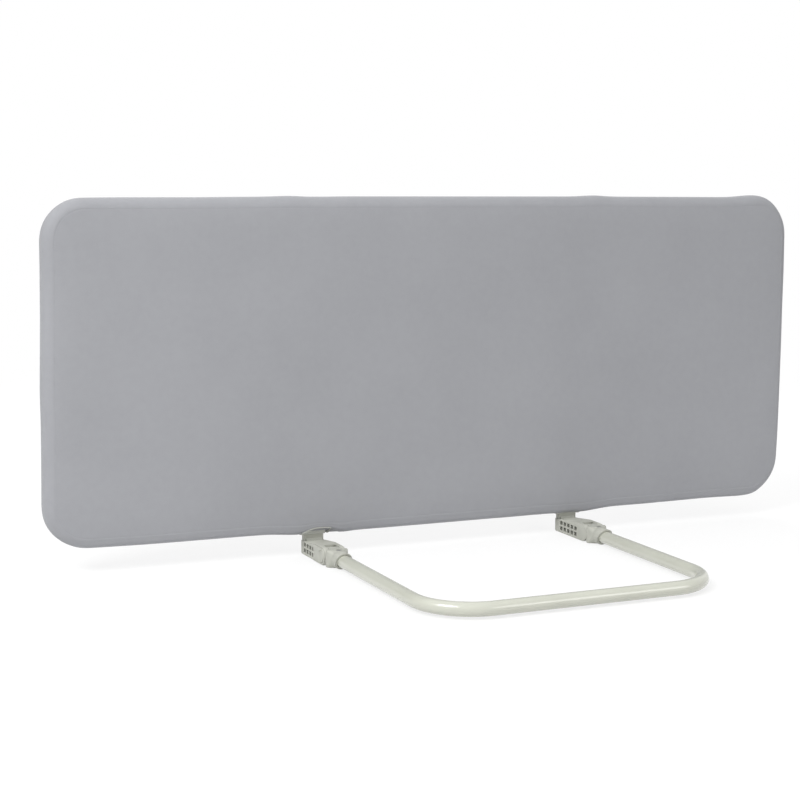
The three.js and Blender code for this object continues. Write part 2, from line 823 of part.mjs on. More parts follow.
function armBoltGeometry({ x, z }) {
  const seat = uprightThickness / 2;
  const head = rodAlongY(boltHeadRadius, -seat - boltHeadHeight, -seat, smallSides);
  const shank = rodAlongY(boltRadius, -seat - overrun, seat + nutHeight + runningGap, smallSides);
  return toGeometry(joined([head, shank])).translate(x, 0, z);
}

function armNutGeometry({ x, z }) {
  const seat = uprightThickness / 2;
  const body = toSolid(rodAlongY(nutRadius, seat, seat + nutHeight, hexSides));
  const hole = rodAlongY(boltRadius + runningGap, seat - overrun, seat + nutHeight + overrun, smallSides);
  return toGeometry(cut(body, [hole])).translate(x, 0, z);
}

// Cover: a thin shell with rounded edges, drawn over the frame and its foam
function roundedSlab(shrink) {
  const edge = coverEdgeRadius - shrink;
  const outline = roundedRectangle(
    guardLength - 2 * shrink,
    guardHeight - 2 * shrink,
    coverCornerRadius - shrink,
  );
  const thickness = guardThickness - 2 * shrink;
  const slab = new THREE.ExtrudeGeometry(outline, {
    depth: thickness - 2 * edge,
    bevelThickness: edge,
    bevelSize: edge,
    bevelOffset: -edge,
    bevelSegments: coverEdgeSteps,
    curveSegments: coverArcSteps,
  });
  slab.translate(0, 0, edge - thickness / 2);
  return slab.rotateX(quarterTurn).translate(0, coverSetback, guardCentreZ);
}

// The swelling of the cloth over the rail joints
function jointSwellings(shrink) {
  const high = railJointRadius + fabricGap + coverWall - shrink;
  const low = railInset - shrink - fabricGap;
  const half = railJointLength / 2 + fabricGap + coverWall - shrink;
  return [-railJointX, railJointX].flatMap((x) => [bottomRailZ, topRailZ].map((z) => turnedAlongX([
    [0, -half - railJointTaper],
    [low, -half - railJointTaper],
    [high, -half],
    [high, half],
    [low, half + railJointTaper],
    [0, half + railJointTaper],
  ], roundSides).translate(x, 0, z)));
}

function coverGeometry() {
  const shell = joined([roundedSlab(0), ...jointSwellings(0)]);
  const slotX = bladeWidth / 2 + bladeSlotGap;
  const slotY = bladeThickness / 2 + bladeSlotGap;
  const low = bottomRailZ - railJointRadius - fabricGap - coverWall - overrun;
  const high = bottomRailZ - tubeRadius + overrun;
  const bladeSlots = [-hingeX, hingeX].map((x) => box(x - slotX, x + slotX, -slotY, slotY, low, high));
  const slitX = closureEnd - closureOverlap;
  const slitY = closureSlit / 2;
  const slit = box(-slitX, slitX, coverSetback - slitY, coverSetback + slitY, low, high);
  return toGeometry(cut(shell, [roundedSlab(coverWall), ...jointSwellings(coverWall), ...bladeSlots, slit]));
}

function foamPadGeometry(side) {
  const inset = coverEdgeRadius - fabricGap;
  const outline = roundedRectangle(
    guardLength - 2 * inset,
    guardHeight - 2 * inset,
    coverCornerRadius - inset,
  );
  const depth = side > 0 ? backFoamThickness : frontFoamThickness;
  const options = { depth, bevelEnabled: false, curveSegments: coverArcSteps };
  const pad = new THREE.ExtrudeGeometry(outline, options);
  pad.rotateX(quarterTurn);
  return pad.translate(0, side > 0 ? foamFace + depth : -foamFace, guardCentreZ);
}

function closureStripGeometry(layer) {
  const top = guardLift - runningGap - layer * (stripThickness + runningGap);
  const low = coverSetback - closureWidth / 2;
  const high = coverSetback + closureWidth / 2;
  return box(-closureEnd, closureEnd, low, high, top - stripThickness, top);
}

// Assembly
function buildBase() {
  const base = new THREE.Group();
  base.add(finished('base_tube', baseTubeGeometry(), ivoryPowderCoat));
  return base;
}

function buildHinge(label, side) {
  const hinge = new THREE.Group();
  hinge.position.x = side * hingeX;
  const pieces = [
    ['hinge_socket', socketGeometry(), ivoryNylon],
    ['hinge_arm', armGeometry(), ivoryNylon],
    ['hinge_pin', pinGeometry(), innerSteel],
    ['lock_dog', dogGeometry(), innerSteel],
    ['lock_spring', springGeometry(), innerSteel],
    ['release_button', buttonGeometry(), ivoryNylon],
    ['socket_screw', socketScrewGeometry(), innerSteel],
  ];
  for (const [piece, geometry, finish] of pieces) {
    hinge.add(finished(`${label}_${piece}`, sided(geometry, side), finish));
  }
  return hinge;
}

function buildGuard() {
  const guard = new THREE.Group();
  guard.add(finished('centre_frame', centreFrameGeometry(), ivoryPowderCoat));
  for (const [label, side] of [['left', -1], ['right', 1]]) {
    guard.add(finished(`${label}_end_loop`, endLoopGeometry(side), ivoryPowderCoat));
    for (const [level, z] of [['top', topRailZ], ['bottom', bottomRailZ]]) {
      const joint = railJointGeometry(side * railJointX, z);
      guard.add(finished(`${level}_${label}_rail_joint`, joint, ivoryNylon));
    }
  }
  for (const place of railScrewPlaces()) {
    guard.add(finished(place.name, railScrewGeometry(place), innerSteel));
  }
  for (const place of boltPlaces()) {
    guard.add(finished(`${place.label}_bolt`, armBoltGeometry(place), innerSteel));
    guard.add(finished(`${place.label}_nut`, armNutGeometry(place), innerSteel));
  }
  guard.add(finished('front_foam_pad', foamPadGeometry(-1), paleFoam));
  guard.add(finished('back_foam_pad', foamPadGeometry(1), paleFoam));
  guard.add(finished('guard_cover', coverGeometry(), greyFabric));
  guard.add(finished('cover_loop_strip', closureStripGeometry(0), greyTape));
  guard.add(finished('cover_hook_strip', closureStripGeometry(1), greyTape));
  return guard;
}

const guardRail = new THREE.Group();
guardRail.name = 'folding_bed_guard_rail';
guardRail.position.y = (baseReach + tubeRadius - backFace) / 2;
guardRail.add(buildBase(), buildHinge('left', -1), buildHinge('right', 1), buildGuard());

export default guardRail;
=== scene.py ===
import math

import bmesh
import bpy
import numpy as np
from mathutils import Matrix, Vector
from mathutils.bvhtree import BVHTree


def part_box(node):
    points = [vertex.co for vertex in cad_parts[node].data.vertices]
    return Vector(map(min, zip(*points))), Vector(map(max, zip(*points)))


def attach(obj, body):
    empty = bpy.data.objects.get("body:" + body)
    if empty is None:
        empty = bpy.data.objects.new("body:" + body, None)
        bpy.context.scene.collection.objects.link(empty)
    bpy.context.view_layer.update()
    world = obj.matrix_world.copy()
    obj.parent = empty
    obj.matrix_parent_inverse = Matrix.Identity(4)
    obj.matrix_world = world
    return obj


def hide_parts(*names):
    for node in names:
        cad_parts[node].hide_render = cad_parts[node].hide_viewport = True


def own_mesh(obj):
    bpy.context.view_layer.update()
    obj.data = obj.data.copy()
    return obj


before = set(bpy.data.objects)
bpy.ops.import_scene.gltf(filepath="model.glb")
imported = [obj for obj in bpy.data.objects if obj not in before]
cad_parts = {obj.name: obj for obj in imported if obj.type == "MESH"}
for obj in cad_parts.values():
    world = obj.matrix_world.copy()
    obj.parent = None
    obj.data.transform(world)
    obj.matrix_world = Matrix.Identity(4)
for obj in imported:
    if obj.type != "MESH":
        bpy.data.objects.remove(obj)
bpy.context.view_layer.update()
scene = bpy.context.scene

# Sizes in millimetres. Local Y = 0 is the middle plane of the guard's frame, Z = 0 the brackets' undersides.
MM = 0.001
GUARD_Y = 204.4
GUARD_LENGTH, GUARD_HEIGHT, GUARD_THICKNESS, GUARD_LIFT = 1200.0, 478.0, 36.0, 34.3
COVER_Y = 2.75
CORNER_RADIUS, EDGE_RADIUS = 60.0, 15.0
CENTRE_Z = GUARD_LIFT + GUARD_HEIGHT / 2
HINGE_X = 210.2
TUBE_RADIUS, TUBE_WALL = 9.55, 1.2
BASE_REACH, BASE_BEND = 420.0, 75.0
PIVOT_Y, PIVOT_Z = -76.0, 12.5
BRACKET_HALF, BRACKET_HEIGHT = 16.0, 25.0
KNUCKLE = 12.5
CHEEK_INNER = 9.0
SHOULDER = 12.8
COLLAR_RADIUS = 12.5
BUTTON_BACK = 16.3
PIN_BORE, LOCK_GAP = 3.3, 0.3
OPENING_HALF_X, WIDE_HALF_X = 19.5, 23.0
OPENING_HALF_Y, WIDE_FRONT_Y = 6.6, -12.1
SLEEVE_X, SLEEVE_Y, SLEEVE_TOP, SLEEVE_WALL, SLEEVE_CORNER = 17.0, 7.0, 34.0, 0.8, 3.0
STITCH_PITCH, STITCH_LENGTH, THREAD_RADIUS = 3.2, 2.3, 0.22
SIDES = ((-1, "left"), (1, "right"))
WHITE = (1.0, 1.0, 1.0, 1.0)


def placed_object(name, data):
    made = bpy.data.objects.new(name, data)
    scene.collection.objects.link(made)
    return made


# Camera, floor and light.
def aim_camera():
    focal_pixels, image_pixels = 1737.27, 800.0
    place = (-1.12408, -2.08251, 0.56393)
    yaw, pitch, roll = (math.radians(v) for v in (24.6700, 7.8510, 0.6011))
    forward = Vector((math.sin(yaw), math.cos(yaw), 0))
    right = Vector((math.cos(yaw), -math.sin(yaw), 0))
    up = Vector((0, 0, 1))
    view = forward * math.cos(pitch) - up * math.sin(pitch)
    top = up * math.cos(pitch) + forward * math.sin(pitch)
    side = right * math.cos(roll) + top * math.sin(roll)
    top = top * math.cos(roll) - right * math.sin(roll)
    data = bpy.data.cameras.new("camera")
    data.sensor_width = 36.0
    data.lens = data.sensor_width * focal_pixels / image_pixels
    data.clip_start, data.clip_end = 0.05, 60
    camera = placed_object("camera", data)
    turn = Matrix((side, top, -view)).transposed().to_4x4()
    camera.matrix_world = Matrix.Translation(place) @ turn
    scene.camera = camera


class Nodes:
    """The nodes of one material or of the surround."""

    def __init__(self, tree):
        self.tree = tree
        tree.nodes.clear()

    def fill(self, node, inputs):
        for key, value in inputs.items():
            if isinstance(value, bpy.types.NodeSocket):
                self.tree.links.new(value, node.inputs[key])
            else:
                node.inputs[key].default_value = value

    def add(self, kind, inputs=None, **settings):
        node = self.tree.nodes.new(kind)
        for key, value in settings.items():
            setattr(node, key, value)
        self.fill(node, inputs or {})
        return node

    def math(self, operation, *values):
        return self.add("ShaderNodeMath", dict(enumerate(values)), operation=operation).outputs[0]

    def times(self, first, second):
        return self.math("MULTIPLY", first, second)

    def plus(self, first, second):
        return self.math("ADD", first, second)

    def dot(self, vector, direction):
        node = self.add("ShaderNodeVectorMath", {0: vector, 1: direction}, operation="DOT_PRODUCT")
        return node.outputs["Value"]

    def noise(self, vector, scale, detail=2.0, rough=0.5):
        inputs = {"Vector": vector, "Scale": scale, "Detail": detail, "Roughness": rough}
        return self.add("ShaderNodeTexNoise", inputs).outputs["Fac"]

    def ramp(self, factor, low, high, start=0.0, end=1.0):
        node = self.add("ShaderNodeValToRGB", {"Fac": factor})
        for element, position, colour in zip(node.color_ramp.elements, (start, end), (low, high)):
            element.position = position
            element.color = (*colour, 1)
        return node.outputs["Color"]

    def mix(self, factor, first, second, kind="MIX"):
        inputs = {0: factor, 6: first, 7: second}
        return self.add("ShaderNodeMix", inputs, data_type="RGBA", blend_type=kind).outputs[2]

    def blend(self, factor, first, second):
        return self.add("ShaderNodeMixShader", {0: factor, 1: first, 2: second}).outputs[0]

    def span(self, factor, low=0.0, high=1.0, start=0.0, end=1.0, easing="LINEAR"):
        inputs = {"Value": factor, "From Min": start, "From Max": end, "To Min": low, "To Max": high}
        return self.add("ShaderNodeMapRange", inputs, interpolation_type=easing).outputs["Result"]

    def bump(self, height, distance, strength=1.0, normal=None):
        inputs = {"Height": height, "Distance": distance, "Strength": strength}
        if normal is not None:
            inputs["Normal"] = normal
        return self.add("ShaderNodeBump", inputs).outputs["Normal"]


def new_material(name):
    material = bpy.data.materials.new(name)
    material.use_nodes = True
    kit = Nodes(material.node_tree)
    surface = kit.add("ShaderNodeBsdfPrincipled")
    kit.add("ShaderNodeOutputMaterial", {"Surface": surface.outputs[0]})
    place = kit.add("ShaderNodeTexCoord").outputs["Object"]
    return material, kit, surface, place


def set_inputs(kit, surface, **values):
    kit.fill(surface, {key.replace("_", " "): value for key, value in values.items()})


def background_rays(kit):
    """One for the rays that see the background directly, in a reflection or through glass, else zero."""
    rays = kit.add("ShaderNodeLightPath").outputs
    seen = kit.math("MAXIMUM", rays["Is Camera Ray"], rays["Is Glossy Ray"])
    return kit.math("MAXIMUM", seen, rays["Is Transmission Ray"])


def make_floor():
    """A pale floor that fades out round the part."""
    reach, cells = 3.2, 16
    fade_start, fade_end, glow = 1.1, 2.6, 0.75
    mesh = bpy.data.meshes.new("floor")
    shape = bmesh.new()
    bmesh.ops.create_grid(shape, x_segments=cells, y_segments=cells, size=reach)
    shape.to_mesh(mesh)
    shape.free()
    floor = placed_object("floor", mesh)
    material = bpy.data.materials.new("pale_floor")
    material.use_nodes = True
    kit = Nodes(material.node_tree)
    place = kit.add("ShaderNodeTexCoord").outputs["Object"]
    distance = kit.add("ShaderNodeVectorMath", {0: place}, operation="LENGTH").outputs["Value"]
    fade = kit.span(distance, start=fade_start, end=fade_end, easing="SMOOTHSTEP")
    seen = background_rays(kit)
    paler = kit.ramp(kit.noise(place, 90.0), (0.94, 0.94, 0.94), (0.96, 0.96, 0.96))
    tone = kit.mix(seen, (0.80, 0.80, 0.80, 1), paler)
    paper = kit.add("ShaderNodeBsdfDiffuse", {"Color": tone}).outputs[0]
    white = kit.add("ShaderNodeEmission", {"Color": WHITE, "Strength": 1.0}).outputs[0]
    paper = kit.blend(kit.times(seen, glow), paper, white)
    clear = kit.add("ShaderNodeBsdfTransparent").outputs[0]
    kit.add("ShaderNodeOutputMaterial", {"Surface": kit.blend(fade, paper, clear)})
    mesh.materials.append(material)


def soft_light(name, place, target, size, power):
    data = bpy.data.lights.new(name, "AREA")
    data.shape = "RECTANGLE"
    data.size, data.size_y = size
    data.energy = power
    light = placed_object(name, data)
    light.location = place
    direction = Vector(target) - Vector(place)
    light.rotation_euler = direction.to_track_quat("-Z", "Y").to_euler()


def light_scene():
    """A white surround to look at, a dimmer one to light the part with, and three lamps."""
    below, above = 0.20, 1.04
    lowest, highest = 0.1, 0.9
    guard_middle, base_middle = (0, 0.2, 0.25), (0.05, -0.2, 0.05)
    world = bpy.data.worlds.new("studio")
    scene.world = world
    world.use_nodes = True
    kit = Nodes(world.node_tree)
    seen = background_rays(kit)
    direction = kit.add("ShaderNodeTexCoord").outputs["Generated"]
    upwards = kit.add("ShaderNodeSeparateXYZ", {0: direction}).outputs["Z"]
    strength = kit.span(upwards, below, above, lowest, highest, "SMOOTHSTEP")
    soft = kit.add("ShaderNodeBackground", {"Color": WHITE, "Strength": strength}).outputs[0]
    white = kit.add("ShaderNodeBackground", {"Color": WHITE, "Strength": 1.0}).outputs[0]
    kit.add("ShaderNodeOutputWorld", {"Surface": kit.blend(seen, soft, white)})
    soft_light("key", (-2.1, -1.0, 2.1), guard_middle, (1.4, 1.0), 58)
    soft_light("rear", (0.7, 2.2, 1.8), guard_middle, (1.6, 1.0), 16)
    soft_light("front", (1.85, -2.7, 1.0), base_middle, (1.8, 1.1), 20)


# Materials.
def fabric_material():
    material, kit, surface, place = new_material("knitted_grey_fabric")
    pitch = 0.95 * MM
    drift = kit.noise(place, 60.0)
    along = kit.plus(kit.dot(place, (1, 1, 0)), kit.times(drift, 0.25 * MM))
    across = kit.plus(kit.dot(place, (0, 1, 1)), kit.times(drift, 0.25 * MM))
    wave_a = kit.math("SINE", kit.times(along, 2 * math.pi / pitch))
    wave_b = kit.math("SINE", kit.times(across, 2 * math.pi / pitch))
    loops = kit.times(kit.times(wave_a, wave_b), 0.5)
    fibre = kit.noise(place, 2600.0, 3.0, 0.65)
    cloud = kit.noise(place, 7.0, 3.0, 0.55)
    mottle = kit.noise(place, 95.0)
    shade = kit.plus(kit.times(loops, 0.10), kit.times(fibre, 0.42))
    shade = kit.plus(shade, kit.times(cloud, 0.30))
    shade = kit.plus(shade, kit.times(mottle, 0.16))
    tone = kit.ramp(shade, (0.300, 0.304, 0.322), (0.369, 0.374, 0.394), 0.22, 0.72)
    height = kit.plus(loops, kit.times(fibre, 0.9))
    weave = kit.bump(height, 0.10 * MM, 0.55)
    relief = kit.bump(cloud, 2.2 * MM, 0.10, weave)
    set_inputs(kit, surface, Base_Color=tone, Roughness=kit.span(mottle, 0.86, 0.96), Normal=relief,
               Sheen_Weight=0.16, Sheen_Roughness=0.45, Specular_IOR_Level=0.18)
    return material


def thread_material():
    material, kit, surface, place = new_material("grey_thread")
    twist = kit.noise(place, 3200.0)
    tone = kit.ramp(twist, (0.27, 0.27, 0.28), (0.40, 0.40, 0.41))
    set_inputs(kit, surface, Base_Color=tone, Roughness=0.7, Normal=kit.bump(twist, 0.08 * MM))
    return material


def binding_material():
    material, kit, surface, place = new_material("pale_binding")
    pitch = 0.7 * MM
    ribs = kit.math("SINE", kit.times(kit.dot(place, (1, 1, 0.6)), 2 * math.pi / pitch))
    fuzz = kit.noise(place, 2200.0, 3.0)
    tone = kit.ramp(fuzz, (0.46, 0.466, 0.43), (0.56, 0.566, 0.525))
    height = kit.plus(kit.times(ribs, 0.5), fuzz)
    set_inputs(kit, surface, Base_Color=tone, Roughness=0.85, Normal=kit.bump(height, 0.12 * MM),
               Sheen_Weight=0.15, Sheen_Roughness=0.5)
    return material


def tape_material():
    material, kit, surface, place = new_material("hook_and_loop_tape")
    inputs = {"Vector": place, "Scale": 1100.0}
    tufts = kit.add("ShaderNodeTexVoronoi", inputs).outputs["Distance"]
    fuzz = kit.noise(place, 1500.0, 3.0)
    tone = kit.ramp(fuzz, (0.25, 0.252, 0.262), (0.35, 0.352, 0.364))
    height = kit.plus(tufts, fuzz)
    set_inputs(kit, surface, Base_Color=tone, Roughness=0.92, Normal=kit.bump(height, 0.25 * MM),
               Sheen_Weight=0.3, Sheen_Roughness=0.5)
    return material


def coat_material():
    material, kit, surface, place = new_material("ivory_powder_coat")
    peel = kit.noise(place, 620.0)
    fine = kit.noise(place, 2400.0)
    cloud = kit.noise(place, 14.0)
    tone = kit.ramp(cloud, (0.495, 0.503, 0.430), (0.540, 0.548, 0.474), 0.3, 0.7)
    scuffs = kit.noise(place, 46.0, 6.0, 0.78)
    mask = kit.span(scuffs, start=0.67, end=0.76)
    tone = kit.mix(kit.times(mask, 0.35), tone, (0.41, 0.40, 0.35, 1))
    height = kit.plus(peel, kit.times(fine, 0.25))
    rough = kit.plus(kit.span(cloud, 0.20, 0.26), kit.times(mask, 0.2))
    set_inputs(kit, surface, Base_Color=tone, Roughness=rough, Normal=kit.bump(height, 0.10 * MM, 0.5),
               Specular_IOR_Level=0.85, Coat_Weight=0.4, Coat_Roughness=0.18)
    return material


def nylon_material():
    material, kit, surface, place = new_material("moulded_nylon")
    spark = kit.noise(place, 1900.0, 3.0, 0.6)
    cloud = kit.noise(place, 38.0, 3.0, 0.5)
    tone = kit.ramp(cloud, (0.415, 0.420, 0.372), (0.470, 0.475, 0.424), 0.3, 0.7)
    # Lighter along sharp convex edges, where the mesh's pointiness is high.
    edge = kit.add("ShaderNodeNewGeometry").outputs["Pointiness"]
    lighter_edges = kit.span(edge, start=0.51, end=0.58)
    tone = kit.mix(kit.times(lighter_edges, 0.45), tone, (0.56, 0.565, 0.51, 1))
    # Painted shade: the nylon's colour is darkened by ambient occlusion in grooves, cells and the gaps between
    # parts.
    reach = {"Distance": 7.0 * MM}
    hollow = kit.add("ShaderNodeAmbientOcclusion", reach, samples=8, only_local=True).outputs["AO"]
    painted_cavity_shade = kit.span(kit.math("POWER", hollow, 1.25), 0.3, 1.0)
    tone = kit.mix(1.0, tone, painted_cavity_shade, "MULTIPLY")
    rounded = kit.add("ShaderNodeBevel", {"Radius": 0.35 * MM}, samples=6).outputs["Normal"]
    set_inputs(kit, surface, Base_Color=tone, Roughness=kit.span(spark, 0.46, 0.62),
               Normal=kit.bump(spark, 0.06 * MM, 0.6, rounded))
    return material


def steel_material():
    material, kit, surface, place = new_material("zinc_plated_steel")
    stretched = kit.add("ShaderNodeMapping", {"Vector": place, "Scale": (60, 900, 900)}).outputs["Vector"]
    brush = kit.noise(stretched, 3.0, 3.0, 0.6)
    cloud = kit.noise(place, 160.0)
    tone = kit.ramp(cloud, (0.50, 0.50, 0.49), (0.64, 0.64, 0.65))
    set_inputs(kit, surface, Base_Color=tone, Metallic=1.0, Roughness=kit.span(brush, 0.24, 0.44),
               Normal=kit.bump(brush, 0.03 * MM))
    return material


def foam_material():
    material, kit, surface, place = new_material("open_cell_foam")
    inputs = {"Vector": place, "Scale": 900.0}
    pores = kit.add("ShaderNodeTexVoronoi", inputs).outputs["Distance"]
    cloud = kit.noise(place, 30.0, 3.0)
    tone = kit.ramp(cloud, (0.74, 0.72, 0.64), (0.82, 0.80, 0.73))
    tone = kit.mix(kit.times(pores, 0.25), tone, (0.62, 0.59, 0.5, 1))
    set_inputs(kit, surface, Base_Color=tone, Roughness=0.95, Normal=kit.bump(pores, 0.4 * MM))
    return material


# Mesh helpers.
def face_outwards(mesh):
    shape = bmesh.new()
    shape.from_mesh(mesh)
    bmesh.ops.recalc_face_normals(shape, faces=shape.faces)
    shape.to_mesh(mesh)
    shape.free()


def mesh_object(name, points, faces):
    mesh = bpy.data.meshes.new(name)
    mesh.from_pydata(np.asarray(points, float).tolist(), [], faces)
    return placed_object(name, mesh)


def discard(made):
    mesh = made.data
    bpy.data.objects.remove(made)
    bpy.data.meshes.remove(mesh)


def new_piece(name, vertices, faces, material, smooth_angle=180.0):
    """A smooth shaded piece from local millimetres, placed in the shared frame in metres."""
    piece = mesh_object(name, (np.asarray(vertices, float) + (0, GUARD_Y, 0)) * MM, faces)
    mesh = piece.data
    mesh.validate()
    face_outwards(mesh)
    mesh.materials.append(material)
    mesh.polygons.foreach_set("use_smooth", [True] * len(mesh.polygons))
    if smooth_angle < 180.0:
        mesh.set_sharp_from_angle(angle=math.radians(smooth_angle))
    mesh.update()
    return piece


def arc(centre, radius, start, end, steps):
    angles = np.linspace(start, end, steps + 1)
    return [(centre[0] + radius * math.cos(a), centre[1] + radius * math.sin(a)) for a in angles]


def rounded_outline(half_a, half_b, corner, steps, middle=0.0):
    """A rectangle with round corners, as pairs; its middle may lie off zero on the first axis."""
    outline = []
    for sa, sb, start in ((1, 1, 0), (-1, 1, 90), (-1, -1, 180), (1, -1, 270)):
        centre = (middle + sa * (half_a - corner), sb * (half_b - corner))
        outline += arc(centre, corner, math.radians(start), math.radians(start + 90), steps)
    return outline


def band_faces(rows, size, closed=False):
    """The quads between following rings of vertices, and back to the first one when closed."""
    faces = []
    for r in range(rows if closed else rows - 1):
        start, after = r * size, (r + 1) % rows * size
        faces += [(start + k, start + (k + 1) % size, after + (k + 1) % size, after + k) for k in range(size)]
    return faces


def end_faces(rows, size):
    return [tuple(range(size)), tuple(range((rows - 1) * size, rows * size))]


def solid(name, vertices, faces):
    """A plain closed mesh in local millimetres, used as raw material for joins and cuts."""
    made = mesh_object(name, vertices, faces)
    face_outwards(made.data)
    return made


def prism(rings, bevel=0.0, bevel_steps=3):
    """A straight solid between two equal outlines."""
    count = len(rings[0])
    faces = [tuple(range(count)), tuple(range(2 * count - 1, count - 1, -1))]
    made = solid("prism", rings[0] + rings[1], faces + band_faces(2, count))
    return bevelled(made, bevel, bevel_steps) if bevel else made


def prism_x(outline, x0, x1, bevel=0.0, bevel_steps=3):
    """Extrudes an outline of (y, z) pairs along X."""
    return prism([[(x, y, z) for y, z in outline] for x in (x0, x1)], bevel, bevel_steps)


def box(x0, x1, y0, y1, z0, z1, bevel=0.0):
    made = prism_x([(y0, z0), (y1, z0), (y1, z1), (y0, z1)], x0, x1)
    return bevelled(made, bevel, 2) if bevel else made


def evaluated(made):
    graph = bpy.context.evaluated_depsgraph_get()
    mesh = bpy.data.meshes.new_from_object(made.evaluated_get(graph))
    made.modifiers.clear()
    old = made.data
    made.data = mesh
    bpy.data.meshes.remove(old)
    return made


def bevelled(made, width, steps, angle=30.0):
    modifier = made.modifiers.new("edge", "BEVEL")
    modifier.width = width
    modifier.segments = steps
    modifier.limit_method = "ANGLE"
    modifier.angle_limit = math.radians(angle)
    modifier.use_clamp_overlap = True
    return evaluated(made)


def combine(base, others, operation):
    for other in others:
        modifier = base.modifiers.new("shape", "BOOLEAN")
        modifier.operation = operation
        modifier.solver = "EXACT"
        modifier.object = other
    evaluated(base)
    for other in others:
        discard(other)
    return base


def turned_x(profile, sides, y=0.0, z=0.0):
    """A turned solid about an axis along X: profile pairs are (radius, distance along X)."""
    vertices = []
    for radius, along in profile:
        vertices += [(along, y + a, z + b) for a, b in ellipse(radius, radius, sides)]
    rows = len(profile)
    return solid("turned", vertices, band_faces(rows, sides) + end_faces(rows, sides))


def rod_x(radius, x0, x1, sides=32, y=0.0, z=0.0):
    return turned_x([(radius, x0), (radius, x1)], sides, y, z)


def swept(path, profile, closed=False):
    """Vertices and faces of a profile swept along a path with a steady frame."""
    points = [Vector(p) for p in path]
    count = len(points)
    tangents = []
    for k in range(count):
        before = points[(k - 1) % count] if closed or k else points[k]
        after = points[(k + 1) % count] if closed or k < count - 1 else points[k]
        tangents.append((after - before).normalized())
    side = tangents[0].orthogonal().normalized()
    vertices = []
    for point, tangent in zip(points, tangents):
        side = (side - tangent * side.dot(tangent)).normalized()
        other = tangent.cross(side)
        vertices += [tuple(point + side * a + other * b) for a, b in profile]
    return vertices, band_faces(count, len(profile), closed)


def ellipse(a, b, sides):
    angles = [2 * math.pi * k / sides for k in range(sides)]
    return [(a * math.cos(angle), b * math.sin(angle)) for angle in angles]


def smooth_step(low, high, value):
    t = np.clip((value - low) / (high - low), 0.0, 1.0)
    return t * t * (3 - 2 * t)


# Cover.
def stations(marks, counts):
    values = [marks[0]]
    for start, end, count in zip(marks, marks[1:], counts):
        values += [start + (end - start) * (k + 1) / count for k in range(count)]
    return values


SEAM_ROW = 1.6
HALF_X = GUARD_LENGTH / 2 - EDGE_RADIUS - SEAM_ROW
HALF_Z = GUARD_HEIGHT / 2 - EDGE_RADIUS - SEAM_ROW
FACE_RADIUS = CORNER_RADIUS - EDGE_RADIUS - SEAM_ROW
CORE_X, CORE_Z = HALF_X - FACE_RADIUS, HALF_Z - FACE_RADIUS
FACE_Y = GUARD_THICKNESS / 2


def in_corner(x, z):
    """Where a grid point of the face lies once its square corners are drawn in to arcs."""
    a, b = (abs(x) - CORE_X) / FACE_RADIUS, (abs(z) - CORE_Z) / FACE_RADIUS
    if a <= 0 or b <= 0:
        return x, z
    u = FACE_RADIUS * a * math.sqrt(1 - b * b / 2)
    v = FACE_RADIUS * b * math.sqrt(1 - a * a / 2)
    return math.copysign(CORE_X + u, x), math.copysign(CORE_Z + v, z)


def edge_normal(x, z):
    """The outward direction of the cover's edge at a point of the face's rim."""
    dx, dz = max(abs(x) - CORE_X, 0.0), max(abs(z) - CORE_Z, 0.0)
    if dx > 1e-6 and dz > 1e-6:
        size = math.hypot(dx, dz)
        return math.copysign(dx / size, x), math.copysign(dz / size, z)
    if abs(abs(x) - HALF_X) < 1e-6:
        return math.copysign(1.0, x), 0.0
    return 0.0, math.copysign(1.0, z)


def cover_rows():
    """Rows from the front seam to the back seam: (outward offset from the seam line, y)."""
    half = FACE_Y - EDGE_RADIUS
    front = [(-0.7, -FACE_Y + 0.04), (0.0, -FACE_Y + 0.34), (0.7, -FACE_Y + 0.1)]
    for degrees in (10, 20, 31, 42, 53, 64, 76.5, 90):
        a = math.radians(degrees)
        front.append((EDGE_RADIUS * math.sin(a), -half - EDGE_RADIUS * math.cos(a)))
    return front + [(EDGE_RADIUS, 0.0)] + [(o, -y) for o, y in reversed(front)]


